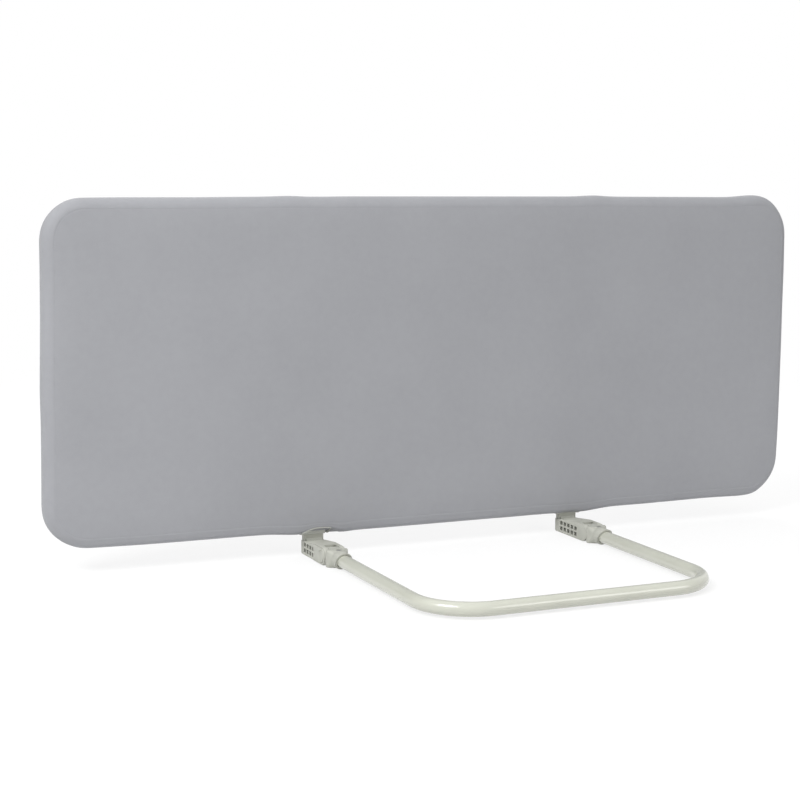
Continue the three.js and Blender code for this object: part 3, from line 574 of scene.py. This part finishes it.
def cover_shape():
    """The cover's vertices, its faces, which of them lie in the openings, and the vertices of its seams."""
    slots = ((-HINGE_X - OPENING_HALF_X, -HINGE_X + WIDE_HALF_X),
             (HINGE_X - OPENING_HALF_X, HINGE_X + OPENING_HALF_X))
    xs = stations([-HALF_X, -CORE_X, *slots[0], *slots[1], CORE_X, HALF_X], [5, 36, 8, 42, 6, 36, 5])
    zs = stations([-HALF_Z, -CORE_Z, CORE_Z, HALF_Z], [5, 40, 5])
    nx, nz = len(xs), len(zs)
    vertices, faces, open_faces = [], [], []
    for y in (-FACE_Y, FACE_Y):
        for z in zs:
            for x in xs:
                px, pz = in_corner(x, z)
                vertices.append((px, y, CENTRE_Z + pz))
    for layer in (0, 1):
        start = layer * nx * nz
        cells = [start + j * nx + i for j in range(nz - 1) for i in range(nx - 1)]
        faces += [(k, k + 1, k + nx + 1, k + nx) for k in cells]
    loop = list(range(nx - 1))
    loop += [j * nx + nx - 1 for j in range(nz - 1)]
    loop += [(nz - 1) * nx + i for i in range(nx - 1, 0, -1)]
    loop += [j * nx for j in range(nz - 1, 0, -1)]
    count = len(loop)
    rows = [loop]
    for offset, y in cover_rows():
        row = []
        for k in loop:
            x, _, z = vertices[k]
            nxn, nzn = edge_normal(x, z - CENTRE_Z)
            reach = offset + SEAM_ROW
            row.append(len(vertices))
            vertices.append((x + nxn * reach, y, z + nzn * reach))
        rows.append(row)
    rows.append([k + nx * nz for k in loop])
    for r in range(len(rows) - 1):
        low_y, high_y = vertices[rows[r][0]][1], vertices[rows[r + 1][0]][1]
        for k in range(count):
            n = (k + 1) % count
            middle = (vertices[rows[r][k]][0] + vertices[rows[r][n]][0]) / 2
            low = vertices[rows[r][k]][2] < GUARD_LIFT + EDGE_RADIUS
            inside = any(start < middle < end for start, end in slots)
            front = WIDE_FRONT_Y if middle < 0 else -OPENING_HALF_Y
            if inside and low and low_y > front and high_y < OPENING_HALF_Y:
                open_faces.append(len(faces))
            faces.append((rows[r][k], rows[r][n], rows[r + 1][n], rows[r + 1][k]))
    seam = set()
    for row in (rows[1], rows[2], rows[3], rows[-2], rows[-3], rows[-4]):
        seam.update(row)
    return np.array(vertices), faces, open_faces, seam


def swollen(vertices, faces, pinned):
    """Blows the cover up softly against its seams, as the foam inside does, and returns the moves."""
    frames = 20
    cloth = mesh_object("cover_cloth", vertices * MM, faces)
    face_outwards(cloth.data)
    group = cloth.vertex_groups.new(name="pin")
    group.add(sorted(pinned), 1.0, "REPLACE")
    modifier = cloth.modifiers.new("cloth", "CLOTH")
    for name, value in (("quality", 5), ("mass", 0.25), ("tension_stiffness", 20), ("compression_stiffness", 20),
                        ("shear_stiffness", 8), ("bending_stiffness", 2), ("use_pressure", True),
                        ("uniform_pressure_force", 4), ("vertex_group_mass", "pin")):
        setattr(modifier.settings, name, value)
    modifier.settings.effector_weights.gravity = 0
    modifier.collision_settings.use_collision = False
    modifier.point_cache.frame_start, modifier.point_cache.frame_end = 1, frames
    for step in range(1, frames + 1):
        scene.frame_set(step)
    graph = bpy.context.evaluated_depsgraph_get()
    result = cloth.evaluated_get(graph).to_mesh()
    moved = np.zeros(len(vertices) * 3)
    result.vertices.foreach_get("co", moved)
    cloth.evaluated_get(graph).to_mesh_clear()
    scene.frame_set(1)
    discard(cloth)
    return moved.reshape(-1, 3) / MM - vertices


def limited(moves, cap):
    size = np.linalg.norm(moves, axis=1, keepdims=True)
    return moves * cap * np.tanh(size / cap) / np.maximum(size, 1e-9)


# Outward departures from the plain outline in millimetres, as (place, departure) pairs along each side.
TOP_FORM = ((-600, -1.1), (-560, -1.3), (-540, -1.9), (-480, -1.7), (-382, -1.8), (-340, -1.3),
            (-283, -0.9), (-263, -0.2), (-244, 0.4), (-224, -0.9), (-184, -0.8), (-165, -0.4),
            (209, -0.2), (229, 0.7), (249, 1.8), (268, 0.1), (288, -0.4), (387, -0.6),
            (485, -0.7), (505, 0.3), (525, 2.3), (545, 2.8), (575, 2.0), (600, 0.0))
BOTTOM_FORM = ((-600, -1.0), (-540, -1.6), (-500, -0.8), (-461, -0.1), (-421, 0.1), (-323, 0.3),
               (-283, 0.7), (-263, 2.4), (-244, 4.2), (-228, 5.2), (-184, 5.6), (-165, 5.4),
               (-145, 3.9), (-86, 4.0), (71, 4.0), (130, 4.3), (150, 3.9), (170, 4.6),
               (189, 5.5), (228, 6.2), (249, 4.9), (268, 2.8), (288, 1.5), (347, 1.6),
               (406, 1.1), (466, 0.6), (505, 1.5), (525, 2.2), (560, 0.5), (600, 0.0))
LEFT_FORM = ((34, 1.5), (94, 1.5), (150, 0.6), (207, 0.1), (250, 0.7), (300, -0.4),
             (350, -1.5), (414, -1.9), (452, -1.8), (480, -1.3), (512, -1.1))
RIGHT_FORM = ((34, -1.5), (94, -1.0), (131, 0.2), (188, 0.5), (282, 0.4), (339, -0.4),
              (395, -0.4), (433, -1.3), (452, -1.8), (512, -1.5))
# The arch of each opening's front edge: side, lift, push to the front, middle off the hinge, width.
ARCHES = ((-1, 8.2, 1.4, 8.0, 23.0), (1, 1.2, 0.0, 0.0, 17.0))
WANDER, FULLER_EDGE = 0.28, 3.0


def profile(knots, value):
    """A smooth curve through measured knots."""
    xs, ys = np.array(knots, float).T
    steps = np.linspace(-9.0, 9.0, 7)
    return sum(np.interp(value + s, xs, ys) for s in steps) / len(steps)


def cover_form(points):
    """The cloth's own form over the frame: swellings, sag, drawn corners and arched openings."""
    x, y, z = points.T
    low, high = GUARD_LIFT, GUARD_LIFT + GUARD_HEIGHT
    at_low = 1.0 - smooth_step(8.0, 40.0, z - low)
    at_high = 1.0 - smooth_step(6.0, 36.0, high - z)
    dz = profile(TOP_FORM, x) * at_high - profile(BOTTOM_FORM, x) * at_low
    at_side = smooth_step(540.0, 590.0, np.abs(x))
    dx = np.where(x < 0, -profile(LEFT_FORM, z), profile(RIGHT_FORM, z)) * at_side
    arched = 0.0
    for side, lift, push, middle, width in ARCHES:
        near = x - side * HINGE_X - middle
        arch = np.exp(-((near / width) ** 4))
        front = 1.0 - smooth_step(-8.0, -2.0, y)
        dz += lift * front * arch * (1.0 - smooth_step(0.0, 22.0, z - low))
        arched = arched + push * front * arch * (1.0 - smooth_step(0.0, 12.0, z - low))
    flow = np.sin(x / 83.0 + 1.3 * np.sin(z / 140.0)) * np.sin(z / 61.0 + 0.8 * np.sin(x / 190.0))
    on_face = smooth_step(12.0, 17.5, np.abs(y)) * smooth_step(8.0, 40.0, np.minimum(z - low, high - z))
    on_face *= smooth_step(8.0, 40.0, GUARD_LENGTH / 2 - np.abs(x))
    half = FACE_Y - EDGE_RADIUS
    full = (1.0 - smooth_step(1.5, 11.0, z - low)) * smooth_step(half, half + 3.5, np.abs(y))
    dy = np.sign(y) * (WANDER * flow * on_face + FULLER_EDGE * full) - arched
    return np.stack([dx, dy, dz], axis=1)


def smoothed_loop(points, rounds=3):
    """Corner cutting, which settles on the same curve as the cover's subdivided edge."""
    for _ in range(rounds):
        after = np.roll(points, -1, axis=0)
        pairs = [0.75 * points + 0.25 * after, 0.25 * points + 0.75 * after]
        points = np.stack(pairs, axis=1).reshape(-1, 3)
    return points


def make_stitches(name, path, material):
    """Separate thread stitches laid along a path that faces down, as one mesh."""
    sides = 6
    rises = ((0.0, -0.9), (0.18, 0.35), (0.5, 0.8), (0.82, 0.35), (1.0, -0.9))
    points = [Vector(p) for p in path]
    steps = [0.0]
    for a, b in zip(points, points[1:]):
        steps.append(steps[-1] + (b - a).length)
    vertices, faces = [], []
    ring = ellipse(THREAD_RADIUS, THREAD_RADIUS, sides)
    place = 0.5 * STITCH_PITCH

    def at(distance):
        k = int(np.searchsorted(steps, distance)) or 1
        k = min(k, len(points) - 1)
        t = (distance - steps[k - 1]) / max(steps[k] - steps[k - 1], 1e-9)
        return points[k - 1].lerp(points[k], t)

    while place + STITCH_LENGTH < steps[-1]:
        line = [at(place + STITCH_LENGTH * t) + Vector((0, 0, -THREAD_RADIUS)) * rise for t, rise in rises]
        more, quads = swept(line, ring)
        start = len(vertices)
        vertices += more
        faces += [tuple(start + k for k in q) for q in quads + end_faces(len(line), sides)]
        place += STITCH_PITCH
    return new_piece(name, vertices, faces, material)


def cut_openings(shape, open_faces):
    """Opens the cover for the hinge arms, turns the edges in to the sleeves and returns the outlines."""
    wide_rise, rise = 1.0, 3.5
    shape.faces.ensure_lookup_table()
    gone = [shape.faces[k] for k in open_faces]
    bmesh.ops.delete(shape, geom=gone, context="FACES")
    rims = [e for e in shape.edges if e.is_boundary]
    loops = ordered_loops(rims)
    outlines = [np.array([tuple(v.co) for v in loop]) / MM - (0, GUARD_Y, 0) for loop in loops]
    turned_in = bmesh.ops.extrude_edge_only(shape, edges=rims)["geom"]
    for item in turned_in:
        if isinstance(item, bmesh.types.BMVert):
            wide = abs(item.co.x) / MM < HINGE_X - OPENING_HALF_X - 1
            item.co.z += (wide_rise if wide else rise) * MM
    lips = [item for item in turned_in if isinstance(item, bmesh.types.BMEdge)]
    for item in bmesh.ops.extrude_edge_only(shape, edges=lips)["geom"]:
        if isinstance(item, bmesh.types.BMVert):
            middle = math.copysign(HINGE_X, item.co.x)
            x = min(max(item.co.x / MM - middle, -SLEEVE_X), SLEEVE_X)
            y = min(max(item.co.y / MM - GUARD_Y, -SLEEVE_Y), SLEEVE_Y)
            item.co = Vector((middle + x, GUARD_Y + y, SLEEVE_TOP)) * MM
    return outlines


def trim_opening(outline, tree, binding, thread):
    """The bound hem of one opening, its sleeve, and the stitches on the cover beside the hem."""
    foot_left, foot_right = 29.3, 28.7
    seam_offset, seam_lift = 2.4, 0.15
    side, label, foot = (-1, "left", foot_left) if outline[:, 0].mean() < 0 else (1, "right", foot_right)
    path = smoothed_loop(outline)
    hem_mesh = swept(path.tolist(), ellipse(1.15, 1.0, 16), True)
    hem = new_piece(f"{label}_opening_hem", *hem_mesh, binding)
    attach(hem, "guard")
    half_band = (SLEEVE_TOP + 1.0 - foot) / 2
    band = ellipse(SLEEVE_WALL, half_band, 20)
    round_arm = rounded_outline(SLEEVE_X, SLEEVE_Y, SLEEVE_CORNER, 6, side * HINGE_X)
    sleeve_mesh = upright_sweep(round_arm, band, foot + half_band)
    sleeve = new_piece(f"{label}_opening_sleeve", *sleeve_mesh, binding)
    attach(sleeve, "guard")
    spread = path - path.mean(axis=0)
    size = np.linalg.norm(spread[:, :2], axis=1, keepdims=True)
    outwards = spread[:, :2] / size * seam_offset
    line = path + np.concatenate([outwards, np.zeros((len(path), 1))], axis=1)
    for k, point in enumerate(line):
        spot, normal = tree.find_nearest(Vector(point + (0, GUARD_Y, 0)) * MM)[:2]
        line[k] = np.array(spot + normal * seam_lift * MM) / MM - (0, GUARD_Y, 0)
    seam_line = np.concatenate([line, line[:1]])
    stitches = make_stitches(f"{label}_hem_stitches", seam_line.tolist(), thread)
    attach(stitches, "guard")


def make_cover(fabric, binding, thread):
    """The padded cover with its two trimmed openings."""
    side_cap, face_cap = 1.0, 1.8
    vertices, faces, open_faces, seam = cover_shape()
    for k in open_faces:
        seam.update(faces[k])
    moves = swollen(vertices, faces, seam)
    on_face = smooth_step(FACE_Y - 2.0, FACE_Y - 0.2, np.abs(vertices[:, 1]))[:, None]
    vertices = vertices + limited(moves, side_cap) * (1 - on_face) + limited(moves, face_cap) * on_face
    vertices = vertices + cover_form(vertices)
    cover = mesh_object("guard_fabric_cover", (vertices + (0, GUARD_Y + COVER_Y, 0)) * MM, faces)
    mesh = cover.data
    shape = bmesh.new()
    shape.from_mesh(mesh)
    bmesh.ops.recalc_face_normals(shape, faces=shape.faces)
    outlines = cut_openings(shape, open_faces)
    bmesh.ops.recalc_face_normals(shape, faces=shape.faces)
    shape.to_mesh(mesh)
    shape.free()
    mesh.materials.append(fabric)
    mesh.polygons.foreach_set("use_smooth", [True] * len(mesh.polygons))
    modifier = cover.modifiers.new("smooth", "SUBSURF")
    modifier.levels = modifier.render_levels = 1
    modifier.boundary_smooth = "ALL"
    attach(cover, "guard")
    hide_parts("guard_cover")
    tree = BVHTree.FromObject(cover, bpy.context.evaluated_depsgraph_get())
    for outline in outlines:
        trim_opening(outline, tree, binding, thread)
    return cover


def upright_sweep(path, profile, height):
    """A closed band round a flat path, its section kept upright."""
    count = len(path)
    vertices = []
    for k in range(count):
        (x0, y0), (x1, y1) = path[k - 1], path[(k + 1) % count]
        length = math.hypot(x1 - x0, y1 - y0)
        out_x, out_y = (y1 - y0) / length, (x0 - x1) / length
        x, y = path[k]
        vertices += [(x + out_x * a, y + out_y * a, height + b) for a, b in profile]
    return vertices, band_faces(count, len(profile), True)


def ordered_loops(edges):
    """The closed chains of vertices that a set of edges makes."""
    links = {}
    for edge in edges:
        for a, b in (edge.verts, reversed(edge.verts)):
            links.setdefault(a, []).append(b)
    loops, left = [], set(links)
    while left:
        start = min(left, key=lambda v: v.index)
        chain, before, here = [start], None, start
        while True:
            left.discard(here)
            after = [v for v in links[here] if v is not before]
            before, here = here, after[0]
            if here is start:
                break
            chain.append(here)
        loops.append(chain)
    return loops


def underside(cover, fallback):
    """A function that gives the height of the cover's underside over a point of the floor."""
    graph = bpy.context.evaluated_depsgraph_get()
    tree = BVHTree.FromObject(cover, graph)

    def height(x, y):
        hit = tree.ray_cast(Vector((x, GUARD_Y + y, 0)) * MM, Vector((0, 0, 1)))[0]
        return fallback if hit is None else hit.z / MM

    return height


def laid_strip(name, half, half_width, lift, thick, height, material):
    """A strip with rounded edges and ends that follows the cover's underside."""
    cells, sides, across = 110, 24, []
    for c, s in ellipse(1.0, 1.0, sides):
        y, z = math.copysign(abs(c) ** 0.22, c), math.copysign(abs(s) ** 0.5, s)
        across.append((half_width * y, thick / 2 * z))
    vertices = []
    for i in range(cells + 1):
        t = -1 + 2 * i / cells
        past = max(abs(t) - 0.975, 0) / 0.025
        narrow = 0.72 + 0.28 * math.sqrt(max(1 - past * past, 0.06))
        for y, z in across:
            place = (t * half, COVER_Y + y * narrow)
            vertices.append((*place, height(*place) + lift + z))
    faces = band_faces(cells + 1, sides) + end_faces(cells + 1, sides)
    strip = new_piece(name, vertices, faces, material, 60)
    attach(strip, "guard")
    return strip


def make_strips(cover, tape, fabric, thread):
    """Hook-and-loop closure under the bottom rail: two tapes inside, and the sewn flap outside."""
    seam_y, seam_drop = 6.4, 0.55
    low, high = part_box("cover_hook_strip")
    half = (high.x - low.x) / 2 / MM
    height = underside(cover, GUARD_LIFT - 4.0)
    for node, name, lift in (("cover_loop_strip", "closure_loop_strip", 2.15),
                             ("cover_hook_strip", "closure_hook_strip", 0.85)):
        strip = laid_strip(name, half, 7.6, lift, 1.2, height, tape)
        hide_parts(node)
    flap = laid_strip("closure_flap", half - 0.5, 8.0, -0.15, 0.7, height, fabric)
    for side, label in ((-1, "front"), (1, "back")):
        y = COVER_Y + side * seam_y
        line = [(x, y, height(x, y) - seam_drop) for x in np.linspace(-half + 5, half - 5, 60)]
        stitches = make_stitches(f"{label}_flap_stitches", line, thread)
        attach(stitches, "guard")


def make_foam(foam):
    """Two foam sheets between the frame and the cover, with softly rounded edges."""
    corner, edge, slight = 45.0, 1.4, 0.45
    for node, name in (("front_foam_pad", "front_foam_sheet"), ("back_foam_pad", "back_foam_sheet")):
        low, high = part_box(node)
        half_x, half_z = (high.x - low.x) / 2 / MM, (high.z - low.z) / 2 / MM
        centre_y = (low.y + high.y) / 2 / MM - GUARD_Y
        half_y = (high.y - low.y) / 2 / MM
        outline = rounded_outline(half_x, half_z, corner, 10)
        rings = [(-half_y, edge), (-half_y + 0.5, slight), (0.0, 0.0), (half_y - 0.5, slight), (half_y, edge)]
        vertices = []
        for y, inset in rings:
            sx, sz = (half_x - inset) / half_x, (half_z - inset) / half_z
            vertices += [(x * sx, centre_y + y, CENTRE_Z + z * sz) for x, z in outline]
        count = len(outline)
        faces = band_faces(len(rings), count) + end_faces(len(rings), count)
        sheet = new_piece(name, vertices, faces, foam, 50)
        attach(sheet, "guard")
        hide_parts(node)


# Base tube and hinges.
def make_base_tube(coat):
    """The bent tube, open at both ends."""
    start, bend = PIVOT_Y - SHOULDER - 3.5, -BASE_REACH + BASE_BEND
    path = [(-HINGE_X, start, PIVOT_Z)]
    path += [(-HINGE_X, start + (bend - start) * t, PIVOT_Z) for t in (0.25, 0.5, 0.75)]
    for x, a0 in ((-HINGE_X + BASE_BEND, math.pi), (HINGE_X - BASE_BEND, 1.5 * math.pi)):
        path += [(px, py, PIVOT_Z) for px, py in arc((x, bend), BASE_BEND, a0, a0 + math.pi / 2, 26)]
    path += [(HINGE_X, bend + (start - bend) * t, PIVOT_Z) for t in (0.25, 0.5, 0.75, 1.0)]
    sides = 48
    outer, faces = swept(path, ellipse(TUBE_RADIUS, TUBE_RADIUS, sides))
    bore = TUBE_RADIUS - TUBE_WALL
    inner, inner_faces = swept(path, ellipse(bore, bore, sides))
    shift = len(outer)
    faces += [tuple(shift + k for k in f) for f in inner_faces]
    last = (len(path) - 1) * sides
    for k in range(sides):
        n = (k + 1) % sides
        faces.append((k, n, shift + n, shift + k))
        faces.append((last + k, last + n, shift + last + n, shift + last + k))
    tube = new_piece("bent_base_tube", outer + inner, faces, coat, 40)
    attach(tube, "root")
    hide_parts("base_tube")


def pivot(points):
    return [(PIVOT_Y + y, PIVOT_Z + z) for y, z in points]


def arm_outline():
    points = [(PIVOT_Y, 0.0), (3.0, 0.0), (5.0, 2.0), (5.0, 20.0), (-5.0, 20.0), (-49.0, BRACKET_HEIGHT)]
    return points + arc((PIVOT_Y, PIVOT_Z), KNUCKLE, math.pi / 2, 1.5 * math.pi, 36)[:-1]


def boss_outline():
    rear, low, high, corner = -46.5, 1.0, BRACKET_HEIGHT - 1.0, 3.0
    points = [(PIVOT_Y, low)]
    points += arc((rear - corner, low + corner), corner, -math.pi / 2, 0, 6)
    points += arc((rear - corner, high - corner), corner, 0, math.pi / 2, 6)
    return points + arc((PIVOT_Y, PIVOT_Z), KNUCKLE - 1.0, math.pi / 2, 1.5 * math.pi, 36)[:-1]


def fork_outline():
    radius, floor, reach = 12.7, 2.8 - PIVOT_Z, 26.8
    points = [(-15.0, -15.0), (reach, -15.0), (reach, floor)]
    points += arc((0, 0), radius, math.asin(floor / radius), 0, 10)
    return pivot(points + [(radius, 15.0), (-15.0, 15.0)])


def lock_outline(growth):
    """A round core with four lugs, in the hinge's (y, z) plane."""
    core, lug, count, span = 7.9 + growth, 9.5 + growth, 4, 0.62
    points = []
    for k in range(count):
        middle, half = 2 * math.pi * k / count, span / 2 + growth / 9.5
        points += arc((0, 0), lug, middle - half, middle + half, 8)
        points += arc((0, 0), core, middle + half, middle + 2 * math.pi / count - half, 8)
    return pivot(points)


def cell_tools(x0, x1, setback, columns):
    """The hollows between the ribs: two rows of cells along one side of the arm."""
    pitch, half_y, half_z, corner = 10.6, 3.6, 2.8, 0.7
    tools = []
    for column in range(columns):
        y = -setback - column * pitch
        for z in (7.2, 15.6):
            tools.append(box(x0, x1, y - half_y, y + half_y, z - half_z, z + half_z, corner))
    return tools


def leg_rods(radius, x0, x1):
    places = [(6.2 * math.sin(2 * math.pi * k / 3), 6.2 * math.cos(2 * math.pi * k / 3)) for k in range(3)]
    return [rod_x(radius, x0, x1, 20, PIVOT_Y - dy, PIVOT_Z + dz) for dy, dz in places]


def arm_solid():
    """The right arm: foot, round boss, blade, fork and ribbed sides."""
    cell_depth, boss_start, boss_face = 4.0, 13.0, BRACKET_HALF + 2.0
    blade_foot, blade_top, hole_heights, hole_radius = 18.0, 102.3, (60.3, 84.3), 2.8
    body = prism_x(arm_outline(), -BRACKET_HALF, BRACKET_HALF, 1.0, 3)
    boss = prism_x(boss_outline(), boss_start, boss_face, 1.0, 3)
    blade_outline = rounded_outline(15.0, 5.0, 1.5, 5)
    blade = prism([[(x, y, z) for x, y in blade_outline] for z in (blade_foot, blade_top)])
    fillet = [(-5.0, 19.4), (-5.0, 23.6), (-5.55, 22.0), (-6.6, 20.9), (-9.6, 19.9)]
    root = prism_x([(y - 0.02, z) for y, z in fillet], -12.0, 12.0)
    body = combine(body, [boss, blade, root], "UNION")
    tools = [prism_x(fork_outline(), -CHEEK_INNER, CHEEK_INNER)]
    tools += cell_tools(-BRACKET_HALF - 1.0, -cell_depth, 14.7, 5)
    tools += cell_tools(cell_depth, BRACKET_HALF + 1.0, 9.5, 4)
    tools.append(prism_x(lock_outline(LOCK_GAP), CHEEK_INNER - 0.5, 10.8))
    tools.append(rod_x(PIN_BORE, -13.5, 13.2, 40, PIVOT_Y, PIVOT_Z))
    tools.append(rod_x(4.3, 12.0, 13.3, 40, PIVOT_Y, PIVOT_Z))
    button_bore = [(8.5, 13.2), (8.5, 17.3), (9.1, 17.8), (9.1, 19.0)]
    tools.append(turned_x(button_bore, 64, PIVOT_Y, PIVOT_Z))
    tools += leg_rods(1.5, 8.8, 14.0)
    for height in hole_heights:
        hole = rod_x(hole_radius, -10, 10, 24)
        hole.data.transform(Matrix.Translation((0, 0, height)) @ Matrix.Rotation(math.pi / 2, 4, "Z"))
        tools.append(hole)
    return combine(body, tools, "DIFFERENCE")


def socket_ring(y, half_x, half_z, corner):
    return [(x, PIVOT_Y - y, PIVOT_Z + z) for x, z in rounded_outline(half_x, half_z, corner, 10)]


def socket_solid():
    """The right socket: tongue, shoulder, taper and a round collar with a slanted mouth."""
    radius, taper_length, collar_length, slant = COLLAR_RADIUS, 12.0, 19.0, 13.0
    bore_radius, past_mouth, corner, slices = 9.85, 3.0, 2.0, 18
    rings = [socket_ring(SHOULDER, 15.0, 11.5, 1.2), socket_ring(SHOULDER + 0.35, 15.7, 12.2, 1.6),
             socket_ring(SHOULDER + 1.0, BRACKET_HALF, KNUCKLE, corner)]
    taper_start = SHOULDER + 2.5
    for k in range(slices + 1):
        t = k / slices
        ease = t * t * (3 - 2 * t)
        half_x = BRACKET_HALF + (radius - BRACKET_HALF) * ease
        rings.append(socket_ring(taper_start + taper_length * t, half_x, radius,
                                 corner + (radius - 0.2 - corner) * ease))
    mouth = taper_start + taper_length + collar_length
    rings.append(socket_ring(mouth + 1.0, radius, radius, radius - 0.2))
    rows, size = len(rings), len(rings[0])
    faces = band_faces(rows, size) + end_faces(rows, size)
    body = solid("socket", [p for ring in rings for p in ring], faces)
    ledge, tongue = 2.5 - PIVOT_Z, 12.2
    outline = [(-SHOULDER - 3.2, -PIVOT_Z), (26.5, -PIVOT_Z), (26.5, ledge)]
    outline += arc((0, 0), tongue, math.asin(ledge / tongue), math.pi / 2, 22)
    outline.append((-SHOULDER - 3.2, tongue))
    body = combine(body, [prism_x(pivot(outline), -8.5, 8.5, 0.35, 2)], "UNION")
    lean = slant / (2 * radius)
    cut = [(-mouth + (radius - z) * lean, z) for z in (-radius - 1.0, radius + 1.0)]
    cut += [(-mouth - past_mouth, radius + 1.0), (-mouth - past_mouth, -radius - 1.0)]
    body = combine(body, [prism_x(pivot(cut), -20.0, 20.0)], "DIFFERENCE")
    body = bevelled(body, 0.4, 2, 50.0)
    bore = rod_x(bore_radius, 0.0, mouth - SHOULDER - 3.2 + past_mouth, 64)
    place = Matrix.Translation((0, PIVOT_Y - mouth - past_mouth, PIVOT_Z))
    bore.data.transform(place @ Matrix.Rotation(math.pi / 2, 4, "Z"))
    pocket = prism_x(lock_outline(LOCK_GAP), -3.5, CHEEK_INNER)
    pin = rod_x(PIN_BORE, -CHEEK_INNER, CHEEK_INNER, 40, PIVOT_Y, PIVOT_Z)
    sink = turned_x([(1.9, -12.0), (1.9, -2.5), (3.5, -0.45), (3.5, 1.0)], 40)
    place = Matrix.Translation((0, PIVOT_Y - SHOULDER - 9.8, BRACKET_HEIGHT))
    sink.data.transform(place @ Matrix.Rotation(-math.pi / 2, 4, "Y"))
    return combine(body, [bore, pin, pocket, sink], "DIFFERENCE")


def button_solid():
    back, face, radius = BUTTON_BACK, BUTTON_BACK + 2.3, 8.2
    profile = [(radius - 0.3, back), (radius, back + 0.3), (radius, face - 0.7)]
    profile += [(radius - 0.18, face - 0.32), (radius - 0.6, face)]
    profile += [(radius - 1.5, face), (radius - 1.75, face - 0.1)]
    for t in (0.2, 0.4, 0.6, 0.8, 1.0):
        r = (radius - 1.9) * (1 - t)
        profile.append((max(r, 0.05), face - 0.25 - 0.45 * math.sin(t * math.pi / 2)))
    cap = turned_x(profile, 72, PIVOT_Y, PIVOT_Z)
    legs = leg_rods(1.2, CHEEK_INNER, back + 0.8)
    barbs = leg_rods(1.45, CHEEK_INNER, 10.5)
    return combine(cap, legs + barbs, "UNION")


def placed_pair(build, name, part, bodies, material):
    """Builds a hinge piece for the right side and mirrors it for the left one."""
    master = build()
    mesh = master.data
    flat = np.zeros(len(mesh.vertices) * 3)
    mesh.vertices.foreach_get("co", flat)
    points = flat.reshape(-1, 3)
    faces = [tuple(p.vertices) for p in mesh.polygons]
    for (side, label), body in zip(SIDES, bodies):
        node = f"{label}_{part}"
        placed = points * (side, 1, 1) + (side * HINGE_X, 0, 0)
        piece = new_piece(f"{label}_{name}", placed, faces, material, 28)
        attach(piece, body)
        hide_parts(node)
    discard(master)


def make_hinges(nylon):
    for build, name, part, bodies in (
            (arm_solid, "ribbed_arm", "hinge_arm", ("guard", "guard")),
            (socket_solid, "tube_socket", "hinge_socket", ("root", "root")),
            (button_solid, "push_button", "release_button", ("left_button", "right_button"))):
        placed_pair(build, name, part, bodies, nylon)


def make_coils(steel):
    """Compression springs behind the lock dogs, built at one length; the real ones shorten as the dogs are
    pushed in.
    """
    wire, turns, steps, clearance, travel = 0.45, 4, 20, 0.3, 2.8
    for side, label in SIDES:
        node = f"{label}_lock_spring"
        low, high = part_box(node)
        inner, outer = sorted((low.x / MM * side - HINGE_X, high.x / MM * side - HINGE_X))
        radius = (high.z - low.z) / 2 / MM - wire
        path = []
        for k in range(turns * steps + 1):
            t, angle = k / (turns * steps), 2 * math.pi * k / steps
            along = inner + wire + (outer - inner - 2 * wire) * (t - 0.1 * math.sin(2 * math.pi * t))
            y, z = PIVOT_Y + radius * math.cos(angle), PIVOT_Z + radius * math.sin(angle)
            path.append((side * (HINGE_X + along), y, z))
        ring = ellipse(wire, wire, 10)
        vertices, faces = swept(path, ring)
        faces += end_faces(len(path), len(ring))
        coil = new_piece(f"{label}_lock_coil", vertices, faces, steel, 60)
        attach(coil, "root")
        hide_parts(node)
        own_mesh(coil)


# Assembly.
scene.view_settings.view_transform = "Standard"
aim_camera()
make_floor()
light_scene()

fabric_cloth = fabric_material()
thread = thread_material()
binding = binding_material()
tape = tape_material()
coat = coat_material()
nylon = nylon_material()
steel = steel_material()
foam = foam_material()

steel_words = ("screw", "pin", "dog", "spring", "bolt", "nut")
for name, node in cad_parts.items():
    if any(word in name for word in steel_words):
        finish = steel
    elif "pad" in name:
        finish = foam
    elif name == "guard_cover":
        finish = fabric_cloth
    elif "strip" in name:
        finish = tape
    elif name in ("base_tube", "centre_frame") or name.endswith("end_loop"):
        finish = coat
    else:
        finish = nylon
    for slot in node.material_slots:
        slot.material = finish

cover = make_cover(fabric_cloth, binding, thread)
make_strips(cover, tape, fabric_cloth, thread)
make_foam(foam)
make_base_tube(coat)
make_hinges(nylon)
make_coils(steel)
